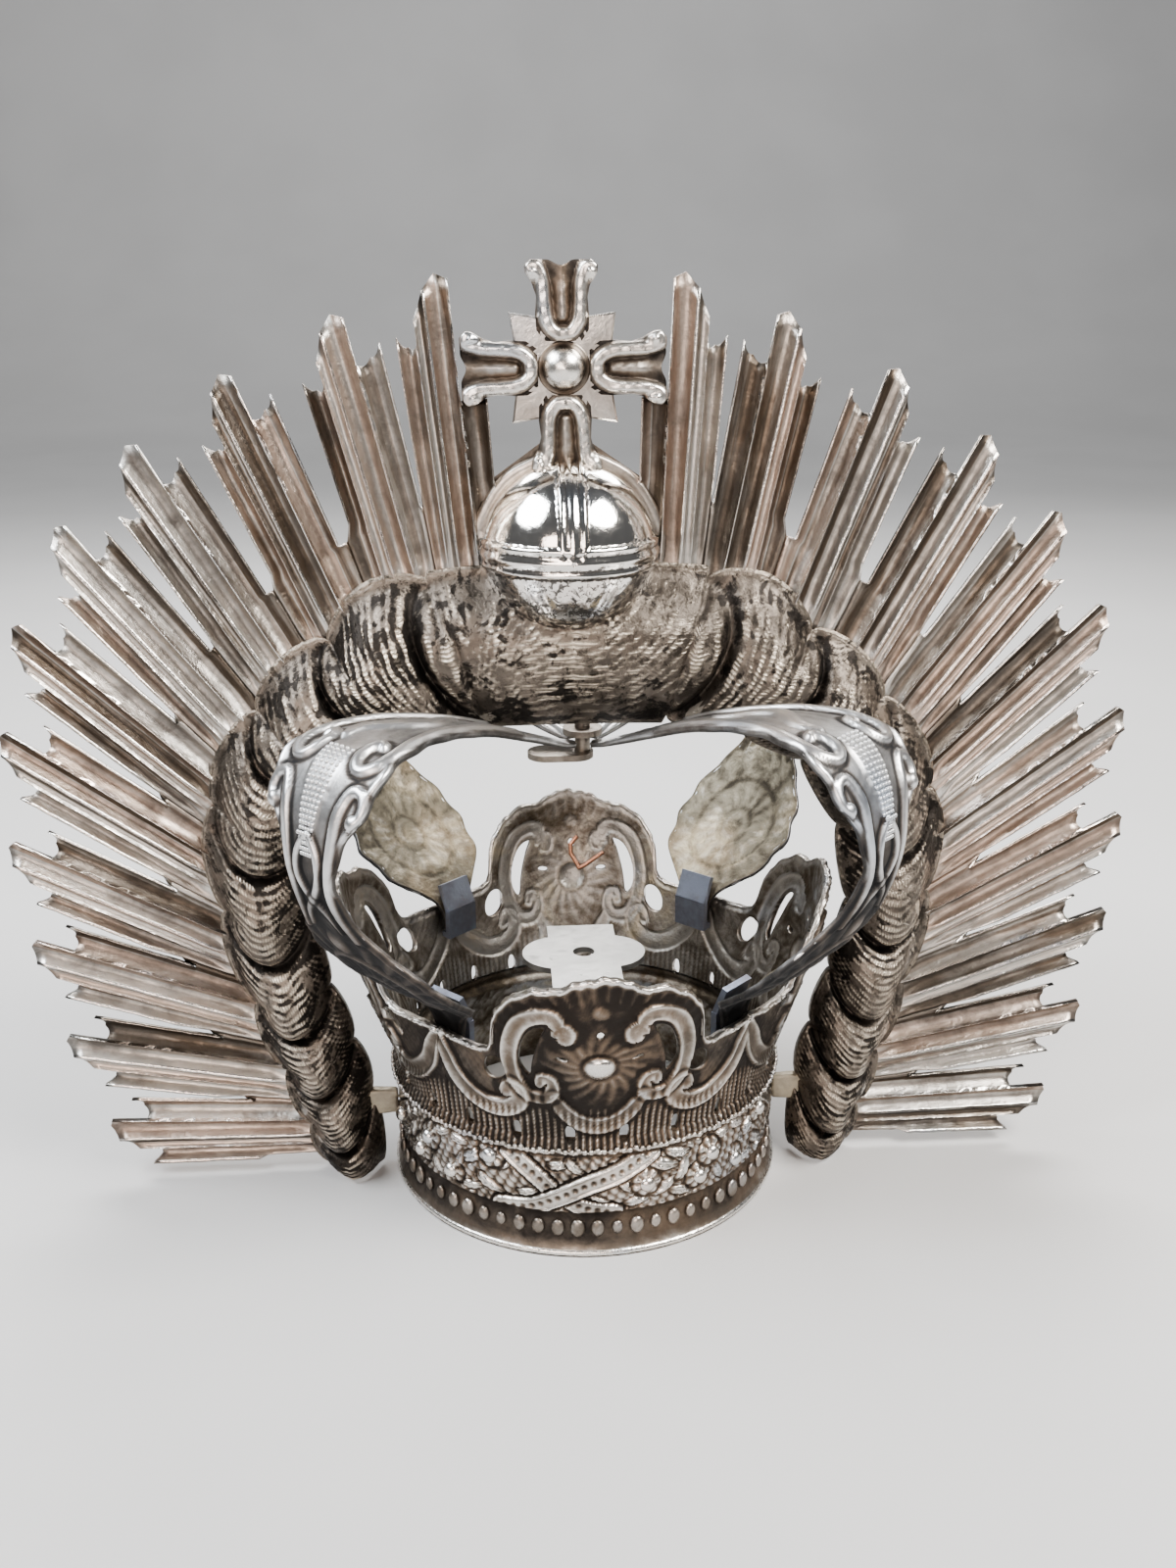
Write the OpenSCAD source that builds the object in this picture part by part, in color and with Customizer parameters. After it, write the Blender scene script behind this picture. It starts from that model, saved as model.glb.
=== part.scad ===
// Imperial crown of silver sheet for a small image: an open circlet with four
// cartouches, four bowed arches and a horseshoe of cloud and rays with orb and cross.
// Millimetres. Z is up, the front faces -Y, and z = 0 is the plane the rim rests on.
// Azimuths run from the front (-Y) towards +X.

/* [Sheet] */
// Thickness of the worked silver sheet
sheet = 1.2; // [1:0.1:1.4]
// Gap left between pieces that lie on each other
seat_gap = 0.3; // [0.2:0.05:0.4]

/* [Circlet] */
// Outer radius of the flared base rim
rim_r = 40; // [39.5:0.1:40.5]
// Gadroons round the foot of the circlet
gadroon_count = 64; // [56:2:66]
// How far a gadroon stands out
gadroon_relief = 0.9; // [0.4:0.1:1.2]
// Height of the ruffled ledge over the floral band
ledge_z = 22.4; // [22:0.1:23]
// Oval perforations in the drapery zone
oval_count = 24; // [20:1:26]
// Height of the ovals' centres
oval_z = 25.8; // [25.6:0.1:28]
// Height of the gallery behind an arch foot
gallery_z = 44; // [42:0.5:46]
// Height of a cartouche's peak
cartouche_z = 62.5; // [60:0.5:65]
// Radius of the boss in the middle of a cartouche
cartouche_boss_r = 2.8; // [2:0.1:3.2]

/* [Arches] */
// Azimuth of the front right arch
arch_azimuth = 45; // [43:0.5:47]
// Greatest width of an arch, across its lower oval
arch_width = 31; // [28:0.5:33]
// Relief of the dotted rib along an arch
arch_rib = 1.0; // [0.5:0.1:1.4]

/* [Halo] */
// Distance of the halo's sheet in front of the crown's axis
halo_y = 4.4; // [4:0.1:5]
// Sideways lean of the halo for each millimetre above its lugs
halo_lean = 0.022; // [0:0.002:0.03]
// How far the cloud stands out in front of the sheet
cloud_bulge = 10; // [8:0.5:11]
// Width of one group of rays across its tips
group_width = 15.4; // [14.5:0.1:16]
// Reach of the longest ray past the slots between groups
ray_reach = 36; // [32:0.5:38]
// Loss of that reach from the top group to the lowest
ray_taper = 6; // [0:0.5:8]
// Height of the corrugation, from the middle of the sheet
ray_relief = 1.2; // [0.8:0.1:1.5]

/* [Orb and cross] */
// Radius of the orb
orb_r = 16; // [15:0.5:17]
// Height of the orb's centre
orb_z = 128; // [127:0.5:130]
// Height of the cross's centre
cross_z = 160; // [158:0.5:161]
// Reach of the cross's arms from its centre
cross_reach = 18.4; // [17:0.1:19]
// Radius of the boss on the cross
boss_r = 3.8; // [3:0.1:4.5]

/* [Fittings] */
// Height of the head plate's upper face
plate_z = 44.6; // [44:0.1:46]
// Radius of the screw hole in the head plate
plate_hole_r = 2.2; // [1.5:0.1:2.6]
// Radius of the screw that joins the arches and the halo
screw_r = 1.5; // [1.2:0.1:1.6]
// Thickness of the tie wire
wire_d = 0.9; // [0.8:0.1:1]

/* [Hidden] */

// Circlet wall, from the rim up: height, radius at an arch foot, and the extra
// radius in the middle of a cartouche, which leans out.
ROW_Z = 0;
ROW_R = 1;
ROW_FLARE = 2;
wall_rows = [
    [0, rim_r, 0], [0.9, rim_r, 0], [4, 38.5, 0], [6, 38.5, 0], [8.2, 37.9, 0],
    [15, 38.9, 0], [ledge_z - 1, 38.1, 0], [ledge_z, 39.7, 0], [24.6, 38.4, 0],
    [29, 38.9, 0.3], [34, 39.6, 1.8], [40, 40.5, 3.4], [46, 41.4, 4.8],
    [54, 42.8, 5.5], [66, 44.6, 5.3]];
fixed_rows = 9;               // rows of wall_rows that every column has
upper_parts = 4;              // steps from the last of them to the top edge
gadroon_rows = 6;             // rows with two columns for each gadroon
drapery_columns = 4 * oval_count;
inner_columns = 44;
cavity_heights = [-1, 4, 8.2, 24.6, 34, 46, 54, 70];
bead_step = 0.3;              // depth of the metal behind the bands' beads
boss_z = 43.2;

// Top edge: angle from a cartouche's middle, and the share of the way from the
// gallery's height to the cartouche's peak.
edge_rows = [[0, 1], [6, 0.95], [9, 0.86], [14, 0.86], [19, 0.74], [24, 0.5],
             [27, 0.1], [30, 0], [45, 0]];

// Arch centre line from its foot to its tip: distance from the axis, height, and
// the strip's width as a share of the shoulder's.
ARCH_R = 0;
ARCH_Z = 1;
ARCH_W = 2;
arch_rows = [
    [37.7, 39.6, 0.23], [38.5, 46, 0.33], [43, 51, 0.8], [51, 57, 1],
    [58.2, 64.5, 0.86], [63.8, 72.5, 0.5], [67.2, 81, 0.38], [67.2, 88.5, 0.52],
    [65.3, 95.5, 0.82], [60, 101.5, 0.84], [48, 103, 0.66], [33, 100.3, 0.47],
    [20, 95.8, 0.34], [10, 92, 0.21], [3, 89.8, 0.08]];
arch_steps = 2;               // stations between two rows

// Cloud ring, a row for each crease between its lobes: the ends of the crease on
// the outer and the inner edge, for the right half.
OUT_X = 0;
OUT_Z = 1;
IN_X = 2;
IN_Z = 3;
cloud_rows = [
    [26.3, 124.4, 17, 94.6], [46.2, 113.3, 31, 92.4],
    [60.5, 99.5, 43, 86], [70.3, 80.5, 50.5, 72.6], [70.6, 58.4, 52.8, 56.8],
    [66.3, 38, 49.8, 41.8], [61.5, 22.4, 46.2, 29.6], [57.6, 9.8, 43.4, 17.4],
    [54.6, 1, 42.2, 1]];
lobe_steps = 3;               // stations along a lobe
// Section of the cloud: share of the width from the outer edge, share of the bulge.
cloud_section = [[0, 0], [0.13, 0.02], [0.26, 0.66], [0.5, 1], [0.78, 0.72], [1, 0.06]];

// Ray groups of the right half: where the middle of the group crosses the line of
// the slots, the direction of its rays from the vertical, and how far below that
// line the cloud's edge runs.
GROUP_X = 0;
GROUP_Z = 1;
GROUP_DIR = 2;
GROUP_EDGE = 3;
ray_groups = [
    [19.8, 140, 4, 14.8], [33, 134.6, 12.5, 11.4], [48, 126.8, 21.5, 12.2],
    [61.4, 117.4, 29.5, 13.1], [72, 106.2, 37.5, 13.9], [78.8, 91.8, 46, 12.8],
    [81.6, 75, 54, 12.8], [81.2, 57, 62, 13.4], [78.6, 40.4, 70, 13.7],
    [74, 24.2, 79, 12.9], [67.8, 9.4, 88.5, 10.4]];
fan_gap = 2.4;                // rays fan out from points this far outside that edge
root_depth = 3;               // and the sheet ends this far under the cloud
thin_sheet = 0.7 * sheet;     // thickness where a part is soldered inside another
slot_width = 0.88;            // share of a group's width at the line of the slots
slot_dip = 1.5;               // the sheet between two groups ends this far lower

// Section of a group from its upper side down: share of the width from the middle,
// share of the relief, and where the sheet is cut as a share of the longest ray,
// for the shorter rays on each side and for the long one in the middle.
LINE_S = 0;
LINE_H = 1;
LINE_CUT = 2;
LINE_LONG = 3;
ray_lines = [
    [-0.5, 0.9, 0.82], [-0.34, -1, 0.76], [-0.17, 0.9, 0.74, 0.97],
    [-0.02, -1, 0.72, 1], [0.13, 0.8, 0.7, 0.93], [0.2, 0, 0.69, 0.86],
    [0.27, 0.6, 0.68, 0.8], [0.38, -1, 0.67], [0.5, 0.9, 0.72]];
long_from = 2;                // the long ray runs from this line
long_to = 6;                  // to this one
plain_cut = 0.4;              // cut of the plain ray beside the cross

function mix(a, b, t) = a + (b - a) * t;

// Value of column c at x in a table whose first column rises
function column_at(rows, x, c, i = 0) =
    i >= len(rows) - 2 || x <= rows[i + 1][0]
        ? mix(rows[i][c], rows[i + 1][c],
              min(1, max(0, (x - rows[i][0]) / (rows[i + 1][0] - rows[i][0]))))
        : column_at(rows, x, c, i + 1);

// A smooth curve through four rows of a table, at t between the middle two
function through(a, b, c, d, t) =
    0.5 * (2 * b + (c - a) * t + (2 * a - 5 * b + 4 * c - d) * t * t
           + (3 * b - a - 3 * c + d) * t * t * t);
function smooth_row(rows, i, t) =
    through(rows[max(0, i - 1)], rows[i], rows[min(len(rows) - 1, i + 1)],
            rows[min(len(rows) - 1, i + 2)], t);

function polar(r, azimuth, z) = [r * sin(azimuth), -r * cos(azimuth), z];

// Angle from the middle of the nearest cartouche
function from_cartouche(azimuth) = abs(((azimuth + 405) % 90) - 45);
function flare_share(azimuth) = pow(cos(2 * from_cartouche(azimuth)), 2) * 0.5
    + 0.5 * cos(2 * from_cartouche(azimuth));
function wall_r(azimuth, z) =
    column_at(wall_rows, z, ROW_R) + column_at(wall_rows, z, ROW_FLARE) * flare_share(azimuth);
function top_z(azimuth) =
    mix(gallery_z, cartouche_z, column_at(edge_rows, from_cartouche(azimuth), 1));

// Closed sheet between two grids of points of the same size
function grid_faces(rows, cols, base, flip) = [
    for (i = [0:rows - 2], j = [0:cols - 2])
        let (a = base + i * cols + j, b = a + 1, c = a + cols + 1, d = a + cols)
            each (flip ? [[c, b, a], [d, c, a]] : [[a, b, c], [a, c, d]])];
module sheet_solid(front, back) {
    rows = len(front);
    cols = len(front[0]);
    n = rows * cols;
    points = concat([for (row = front) each row], [for (row = back) each row]);
    rim = concat(
        [for (j = [0:cols - 1]) j],
        [for (i = [1:rows - 1]) i * cols + cols - 1],
        [for (j = [cols - 2:-1:0]) (rows - 1) * cols + j],
        [for (i = [rows - 2:-1:1]) i * cols]);
    edge = [
        for (k = [0:len(rim) - 1])
            let (a = rim[k], b = rim[(k + 1) % len(rim)])
                each [[b + n, a + n, a], [b, b + n, a]]];
    polyhedron(points, concat(grid_faces(rows, cols, 0, true), grid_faces(rows, cols, n, false), edge));
}

// Solid inside a stack of closed rings, which may lose columns on the way up, with
// a flat fan at each end
module ring_stack(rings, low_z, high_z) {
    function base(i) = i == 0 ? 0 : base(i - 1) + len(rings[i - 1]);
    last = len(rings) - 1;
    tips = base(last + 1);
    n_high = len(rings[last]);
    points = concat([for (ring = rings) each ring], [[0, 0, low_z], [0, 0, high_z]]);
    wall = [
        for (i = [0:last - 1])
            let (n = len(rings[i]), m = len(rings[i + 1]), a = base(i), b = base(i + 1))
                for (j = [0:n - 1])
                    let (k = round((j + 0.5) * m / n), l = round((j + 1.5) * m / n))
                        each concat(
                            [[b + k % m, a + (j + 1) % n, a + j]],
                            l == k ? [] : [[b + k % m, b + l % m, a + (j + 1) % n]])];
    low = [for (j = [0:len(rings[0]) - 1]) [tips, j, (j + 1) % len(rings[0])]];
    high = [for (j = [0:n_high - 1]) [tips + 1, base(last) + (j + 1) % n_high, base(last) + j]];
    polyhedron(points, concat(wall, low, high));
}

// Relief of the circlet: gadroons, floral swags, the ruffled ledge and the drapery
function relief(column, row, azimuth) =
    row == 3 ? gadroon_relief * (column % 2) :
    row == 5 ? 0.5 * cos(24 * azimuth) :
    row == 7 ? 0.5 * cos(oval_count * azimuth) :
    row > fixed_rows - 1 ? 0.3 * cos(oval_count * azimuth) : 0;

function outer_ring(row) =
    let (n = row < gadroon_rows ? 2 * gadroon_count : drapery_columns) [
        for (j = [0:n - 1])
            let (azimuth = 360 * j / n,
                 base_z = wall_rows[min(row, fixed_rows - 1)][ROW_Z],
                 up = max(0, row - fixed_rows + 1) / upper_parts,
                 z = mix(base_z, top_z(azimuth), up))
                polar(wall_r(azimuth, z) + relief(j, row, azimuth), azimuth, z)];
function cavity_r(azimuth, z) =
    let (r = wall_r(azimuth, z), band = wall_rows[4][ROW_R])
        min(r, band) - sheet + max(0, r - band) - bead_step;
function cavity_ring(z) = [
    for (j = [0:inner_columns - 1])
        let (azimuth = 360 * j / inner_columns)
            polar(cavity_r(azimuth, z), azimuth, z)];
// Inner radius between two heights of the cavity's rings
function inside_r(azimuth, z, i = 0) =
    i >= len(cavity_heights) - 2 || z <= cavity_heights[i + 1]
        ? let (a = cavity_heights[i], b = cavity_heights[i + 1])
            mix(cavity_r(azimuth, a), cavity_r(azimuth, b), (z - a) / (b - a))
              * cos(180 / inner_columns)
        : inside_r(azimuth, z, i + 1);

// A cutter along a radius of the circlet, round or stretched upwards
module radial_slot(azimuth, z, r, stretch, sides) {
    rotate([0, 0, azimuth]) translate([0, 0, z])
        hull()
            for (end = [-1, 1])
                translate([0, -30, stretch * end]) rotate([90, 0, 0]) cylinder(r = r, h = 30, $fn = sides);
}

// The crescent beside a scroll: distance across from its radius, height
crescent_azimuth = 15.5;
crescent_outline = [
    [-2.5, 52], [0.5, 50.1], [2.1, 46.4], [2.2, 42.6], [1.1, 40.3], [0.1, 43.1], [-0.2, 46.1], [-1.2, 49]];
module radial_crescent(quarter, side) {
    rotate([0, 0, quarter + crescent_azimuth * side]) translate([0, -30, 0]) rotate([90, 0, 0])
        linear_extrude(30)
            polygon([for (p = crescent_outline) [p[0] * side, p[1]]]);
}

// The circlet with its rim, bands, pierced gallery and cartouches, all one sheet
module circlet() {
    hook_hole_r = 1.1;
    color([0.62, 0.58, 0.53])
        difference() {
            union() {
                ring_stack([for (i = [0:fixed_rows - 1 + upper_parts]) outer_ring(i)], 0, gallery_z);
                for (quarter = [0:90:270])
                    translate(polar(wall_r(quarter, boss_z) - 0.5, quarter, boss_z))
                        sphere(r = cartouche_boss_r, $fn = 8);
            }
            ring_stack([for (z = cavity_heights) cavity_ring(z)], cavity_heights[0],
                       cavity_heights[len(cavity_heights) - 1]);
            for (k = [0:oval_count - 1])
                radial_slot(360 * (k + 0.5) / oval_count, oval_z, 1.1, 1.1, 6);
            for (quarter = [0:90:270], side = [-1, 1]) {
                radial_slot(quarter + 26.5 * side, 39.6, 2.4, 0.8, 8);
                radial_crescent(quarter, side);
            }
            translate([hook[0], 30, hook[2]]) rotate([-90, 0, 0]) cylinder(r = hook_hole_r, h = 30, $fn = 6);
        }
}

// One bowed strip with scalloped edges and a dotted rib, in the plane x = 0
arch_section = [[-0.5, -0.5], [-0.3, 0.35], [0, 1], [0.3, 0.35], [0.5, -0.5]];
function arch_station(k) =
    smooth_row(arch_rows, floor(k / arch_steps), (k % arch_steps) / arch_steps);
function arch_slope(k) =
    let (a = arch_station(max(0, k - 1)), b = arch_station(k + 1))
        [b[ARCH_R] - a[ARCH_R], b[ARCH_Z] - a[ARCH_Z]]
            / norm([b[ARCH_R] - a[ARCH_R], b[ARCH_Z] - a[ARCH_Z]]);
arch_last = arch_steps * (len(arch_rows) - 1);
function arch_point(k, j, depth) =
    let (at = arch_station(k), along = arch_slope(min(k, arch_last - 1)),
         out = [along[1], -along[0]],
         scallop = k < 3 || k > arch_last - 3 ? 1 : 1 + 0.07 * cos(k * 120),
         lift = arch_section[j][1] * arch_rib * at[ARCH_W] - depth)
        [arch_width * at[ARCH_W] * scallop * arch_section[j][0],
         -(at[ARCH_R] + out[0] * lift), at[ARCH_Z] + out[1] * lift];
module arch(azimuth) {
    color([0.72, 0.71, 0.7])
        rotate([0, 0, azimuth])
            sheet_solid(
                [for (k = [0:arch_last]) [for (j = [0:len(arch_section) - 1]) arch_point(k, j, -sheet / 2)]],
                [for (k = [0:arch_last]) [for (j = [0:len(arch_section) - 1]) arch_point(k, j, sheet / 2)]]);
}

// A point of the halo: x and z in its sheet, h out of it towards the front
lug_z = 15;
function on_halo(x, z, h) = [x - halo_lean * (z - lug_z), -halo_y - h, z];

// Cloud ring as a bossed sheet whose lobes puff up between the creases
cloud_full = concat(
    [for (i = [len(cloud_rows) - 1:-1:0])
        [-cloud_rows[i][OUT_X], cloud_rows[i][OUT_Z], -cloud_rows[i][IN_X], cloud_rows[i][IN_Z]]],
    cloud_rows);
lobes = len(cloud_full) - 1;
function puff(t) = 0.72 + 0.28 * sqrt(max(0, sin(180 * t)));
function cloud_point(k, s, h) =
    let (i = min(lobes - 1, floor(k / lobe_steps)), t = k / lobe_steps - i,
         row = smooth_row(cloud_full, i, t),
         middle = [row[OUT_X] + row[IN_X], row[OUT_Z] + row[IN_Z]] / 2,
         swell = 1 + 0.13 * (puff(t) - 0.86) / 0.14,
         outer = middle + ([row[OUT_X], row[OUT_Z]] - middle) * (i == (lobes - 1) / 2 ? 1 : swell),
         inner = [row[IN_X], row[IN_Z]],
         level = k == 0 || k == lobes * lobe_steps ? 0.7 : puff(t),
         at = mix(outer, inner, s))
        on_halo(at[0], max(1, at[1]), h * cloud_bulge * level);
module cloud() {
    last = lobes * lobe_steps;
    front = [for (k = [0:last]) [for (c = cloud_section) cloud_point(k, c[0], c[1]) + [0, -sheet / 2, 0]]];
    back = [for (k = [0:last]) [for (c = cloud_section)
        cloud_point(k, mix(c[0], 0.5, 0.08 * c[1]), c[1]) + [0, sheet / 2 + 0.15 * c[1] * sheet, 0]]];
    sheet_solid(front, back);
}

// Half of the corrugated sheet of rays: groups of lines that fan out from a point
// by the cloud's edge, each line cut at its own length, with a shallow gutter
// between two groups as far as the slot
function short_cut(i, j) = i == 0 && j <= long_from ? plain_cut : ray_lines[j][LINE_CUT];
function group_reach(i) = ray_reach - ray_taper * i / (len(ray_groups) - 1);
function ray_point(i, line, t) =
    let (group = ray_groups[i], u = [sin(group[GROUP_DIR]), cos(group[GROUP_DIR])],
         width = group_width * mix(slot_width, 1, t / group_reach(i)),
         at = [group[GROUP_X], group[GROUP_Z]] + u * t + [u[1], -u[0]] * width * line[LINE_S])
        [at[0], at[1], line[LINE_H] * ray_relief, sheet / 2];
function axis_point(i, past) =
    let (group = ray_groups[i], t = group[GROUP_EDGE] + past)
        [group[GROUP_X] - t * sin(group[GROUP_DIR]), group[GROUP_Z] - t * cos(group[GROUP_DIR]),
         0, thin_sheet / 2];
function gutter_point(i) =
    let (a = ray_point(i, ray_lines[len(ray_lines) - 1], -slot_dip),
         b = ray_point(i + 1, ray_lines[0], -slot_dip))
        [(a[0] + b[0]) / 2, (a[1] + b[1]) / 2, -0.4 * ray_relief, sheet / 2];
module ray_sheet(side) {
    groups = len(ray_groups);
    lines = len(ray_lines);
    long_lines = long_to - long_from + 1;
    stride = 2 * lines + long_lines + 3;
    flat = [
        for (i = [0:groups - 1])
            each concat(
                [axis_point(i, root_depth), axis_point(i, -fan_gap)],
                [for (j = [0:lines - 1]) each [
                    ray_point(i, ray_lines[j], 0),
                    ray_point(i, ray_lines[j], group_reach(i) * short_cut(i, j))]],
                [for (j = [long_from:long_to])
                    ray_point(i, ray_lines[j], group_reach(i) * ray_lines[j][LINE_LONG])],
                i == groups - 1 ? [] : [gutter_point(i)])];
    function root(i) = i * stride;
    function fan(i) = i * stride + 1;
    function slot(i, j) = i * stride + 2 + 2 * j;
    function cut(i, j) = slot(i, j) + 1;
    function long(i, j) = i * stride + 2 + 2 * lines + j - long_from;
    function gutter(i) = i * stride + 2 + 2 * lines + long_lines;
    front = concat(
        [for (i = [0:groups - 1], j = [0:lines - 2]) each [
            [fan(i), slot(i, j), slot(i, j + 1)],
            [slot(i, j), cut(i, j), cut(i, j + 1)],
            [slot(i, j), cut(i, j + 1), slot(i, j + 1)]]],
        [for (i = [0:groups - 1], j = [long_from:long_to - 1]) each [
            [cut(i, j), long(i, j), long(i, j + 1)],
            [cut(i, j), long(i, j + 1), cut(i, j + 1)]]],
        [for (i = [0:groups - 2]) each [
            [fan(i), slot(i, lines - 1), gutter(i)],
            [fan(i), gutter(i), fan(i + 1)],
            [fan(i + 1), gutter(i), slot(i + 1, 0)],
            [root(i), fan(i), root(i + 1)],
            [root(i + 1), fan(i), fan(i + 1)]]]);
    outline = concat(
        [fan(0)],
        [for (i = [0:groups - 1]) each concat(
            [slot(i, 0)],
            [for (j = [0:long_from]) cut(i, j)],
            [for (j = [long_from:long_to]) long(i, j)],
            [for (j = [long_to:lines - 1]) cut(i, j)],
            [slot(i, lines - 1)],
            i == groups - 1 ? [] : [gutter(i)])],
        [fan(groups - 1)],
        [for (i = [groups - 1:-1:0]) root(i)]);
    n = len(flat);
    points = [
        for (face = [1, -1], p = flat)
            on_halo(side * p[0], p[1], p[2] + face * p[3])];
    faces = concat(
        front,
        [for (f = front) [f[2] + n, f[1] + n, f[0] + n]],
        [for (k = [0:len(outline) - 1])
            let (a = outline[k], b = outline[(k + 1) % len(outline)])
                each [[b, a, a + n], [b, a + n, b + n]]]);
    polyhedron(points, side < 0 ? [for (f = faces) [f[2], f[1], f[0]]] : faces);
}

// Orb: a bossed half ball with a lip, a belt and a strap over its top
module orb() {
    belt_w = 5.4;
    belt_relief = 0.7;
    lip_w = 1.8;
    lip_h = sheet / 2 + 0.12;
    module band(angle) {
        rotate_extrude(angle = angle, $fn = 28)
            translate([orb_r - 0.5, -belt_w / 2]) square([belt_relief + 0.5, belt_w]);
    }
    translate(on_halo(0, orb_z, 0)) {
        rotate([90, 0, 0])
            rotate_extrude($fn = 28)
                polygon(concat(
                    [[orb_r + lip_w, -lip_h], [orb_r + lip_w, lip_h]],
                    [for (a = [9:20:69]) orb_r * [cos(a), sin(a)]], [[0, orb_r]],
                    [[0, orb_r - sheet]], [for (a = [69:-20:9]) (orb_r - sheet) * [cos(a), sin(a)]],
                    [[orb_r - sheet, -lip_h]]));
        rotate([0, 0, 180]) band(180);
        rotate([0, -90, 0]) rotate([0, 0, -90]) band(90);
    }
}

// Cross: a pointed plate, a boss and four arms of two out-curled leaves each
leaf_rows = [[1.9, 0.4, 2.4], [2.8, 0.68, 2.3], [4.5, 0.88, 2.1]];
module cross() {
    leaf_h = 2.6;
    plate_h = sheet + 0.4;
    plate = [for (k = [0:15]) (k % 2 ? 6.6 : k % 4 ? 11.8 : 15) * [sin(22.5 * k), cos(22.5 * k)]];
    translate(on_halo(0, cross_z, 0)) {
        rotate([90, 0, 0]) linear_extrude(plate_h, center = true) polygon(plate);
        rotate([90, 0, 0]) sphere(r = boss_r, $fn = 10);
        for (turn = [0:90:270], side = [-1, 1], i = [0:1])
            rotate([90, turn, 0])
                hull()
                    for (leaf = [leaf_rows[i], leaf_rows[i + 1]])
                        translate([side * leaf[0], cross_reach * leaf[1], -sheet / 2 + 0.05 * i])
                            cylinder(r1 = leaf[2], r2 = leaf[2] * 0.55, h = leaf_h, $fn = 7);
    }
}

// Halo: cloud, rays, orb and cross beaten and soldered into one sheet, with the
// two lugs that hold it against the sides of the circlet
module halo() {
    saddle = [[-22, 119], [22, 119], [20.5, 131], [14.5, 140],
              [4.5, 147], [-4.5, 147], [-14.5, 140], [-20.5, 131]];
    module rotate_to_sheet() {
        multmatrix([[1, -halo_lean, 0, halo_lean * lug_z], [0, 0, -1, -halo_y], [0, 1, 0, 0], [0, 0, 0, 1]])
            children();
    }
    lug_in = sqrt(pow(wall_r(90, lug_z) - 0.25, 2) - halo_y * halo_y) + seat_gap;
    lug_out = cloud_rows[len(cloud_rows) - 1][IN_X] + 3;
    color([0.5, 0.45, 0.4])
        union() {
            cloud();
            for (side = [-1, 1])
                ray_sheet(side);
            rotate_to_sheet()
                linear_extrude(0.6 * sheet, center = true)
                    difference() {
                        polygon(saddle);
                        translate([0, orb_z]) circle(r = orb_r - 1.6 * sheet, $fn = 28);
                    }
            orb();
            cross();
            for (side = [-1, 1])
                translate([side * (lug_in + lug_out) / 2, -halo_y - 0.8, lug_z])
                    cube([lug_out - lug_in, 2, 6], center = true);
        }
}

// Head plate: a flat tongue on the axis with two round ears and a screw hole,
// bent down at its front end to lie on the circlet's wall
module head_plate() {
    tongue_w = 14;
    ear_w = 25;
    ear_r = 7.6;
    tail_y = 13;
    tab_h = 6;
    edge = 0.3;
    corner = asin(tongue_w / 2 / inside_r(0, plate_z));
    function seat_y(z) = inside_r(corner, z) * cos(corner) - seat_gap - 0.1;
    bend_y = seat_y(plate_z);
    slope = atan((bend_y - seat_y(plate_z - tab_h)) / tab_h);
    color([0.78, 0.76, 0.72])
        difference() {
            union() {
                translate([0, (tail_y - bend_y + edge) / 2, plate_z - sheet / 2])
                    cube([tongue_w, tail_y + bend_y - edge, sheet], center = true);
                for (side = [-1, 1])
                    translate([side * (ear_w / 2 - ear_r), 0, plate_z - sheet])
                        cylinder(r = ear_r, h = sheet, $fn = 48);
                translate([0, -bend_y, plate_z]) rotate([slope, 0, 0])
                    translate([0, sheet / 2, -(tab_h + edge) / 2])
                        cube([tongue_w - 2 * edge, sheet, tab_h - edge], center = true);
            }
            translate([0, 0, plate_z - 2 * sheet]) cylinder(r = plate_hole_r, h = 3 * sheet, $fn = 48);
        }
}

// Clip: a strip that lies on the inner face of an arch's foot, with a leg under it
module clip(azimuth) {
    clip_w = 8;
    leg_z = 38;
    bend_z = 44.5;
    lean = 22;
    upper_h = 6;
    front_r = 36.6;
    leg_r = inside_r(arch_azimuth, leg_z) - 2 * seat_gap;
    color([0.5, 0.52, 0.57])
        rotate([0, 0, azimuth]) {
            translate([0, -(front_r - sheet / 2), (leg_z + bend_z) / 2])
                cube([clip_w, sheet, bend_z - leg_z], center = true);
            translate([0, -(front_r - sheet + leg_r) / 2, leg_z + sheet / 2])
                cube([clip_w - 0.4, leg_r - front_r + sheet, sheet], center = true);
            translate([0, -front_r, bend_z - 0.4]) rotate([lean, 0, 0])
                translate([0, sheet / 2, upper_h / 2])
                    cube([clip_w - 0.2, sheet, upper_h], center = true);
        }
}

// Screw with the oval nut plate under the arches' tips and a washer over them
module top_screw() {
    nut_z = 87.2;
    nut_long = 12.8;
    nut_short = 7.6;
    nut_x = -4.3;
    washer_r = 3.8;
    washer_z = 91.3;
    top = 93.6;
    color([0.55, 0.53, 0.5]) {
        translate([0, 0, nut_z]) cylinder(r = screw_r, h = top - nut_z, $fn = 32);
        translate([0, 0, washer_z]) cylinder(r = washer_r, h = sheet, $fn = 32);
        translate([nut_x, 0, nut_z]) {
            cube([nut_long - nut_short, nut_short - 0.02, sheet], center = true);
            for (side = [-1, 1])
                translate([side * (nut_long - nut_short) / 2, 0, -sheet / 2])
                    cylinder(r = nut_short / 2, h = sheet, $fn = 32);
        }
    }
}

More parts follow.
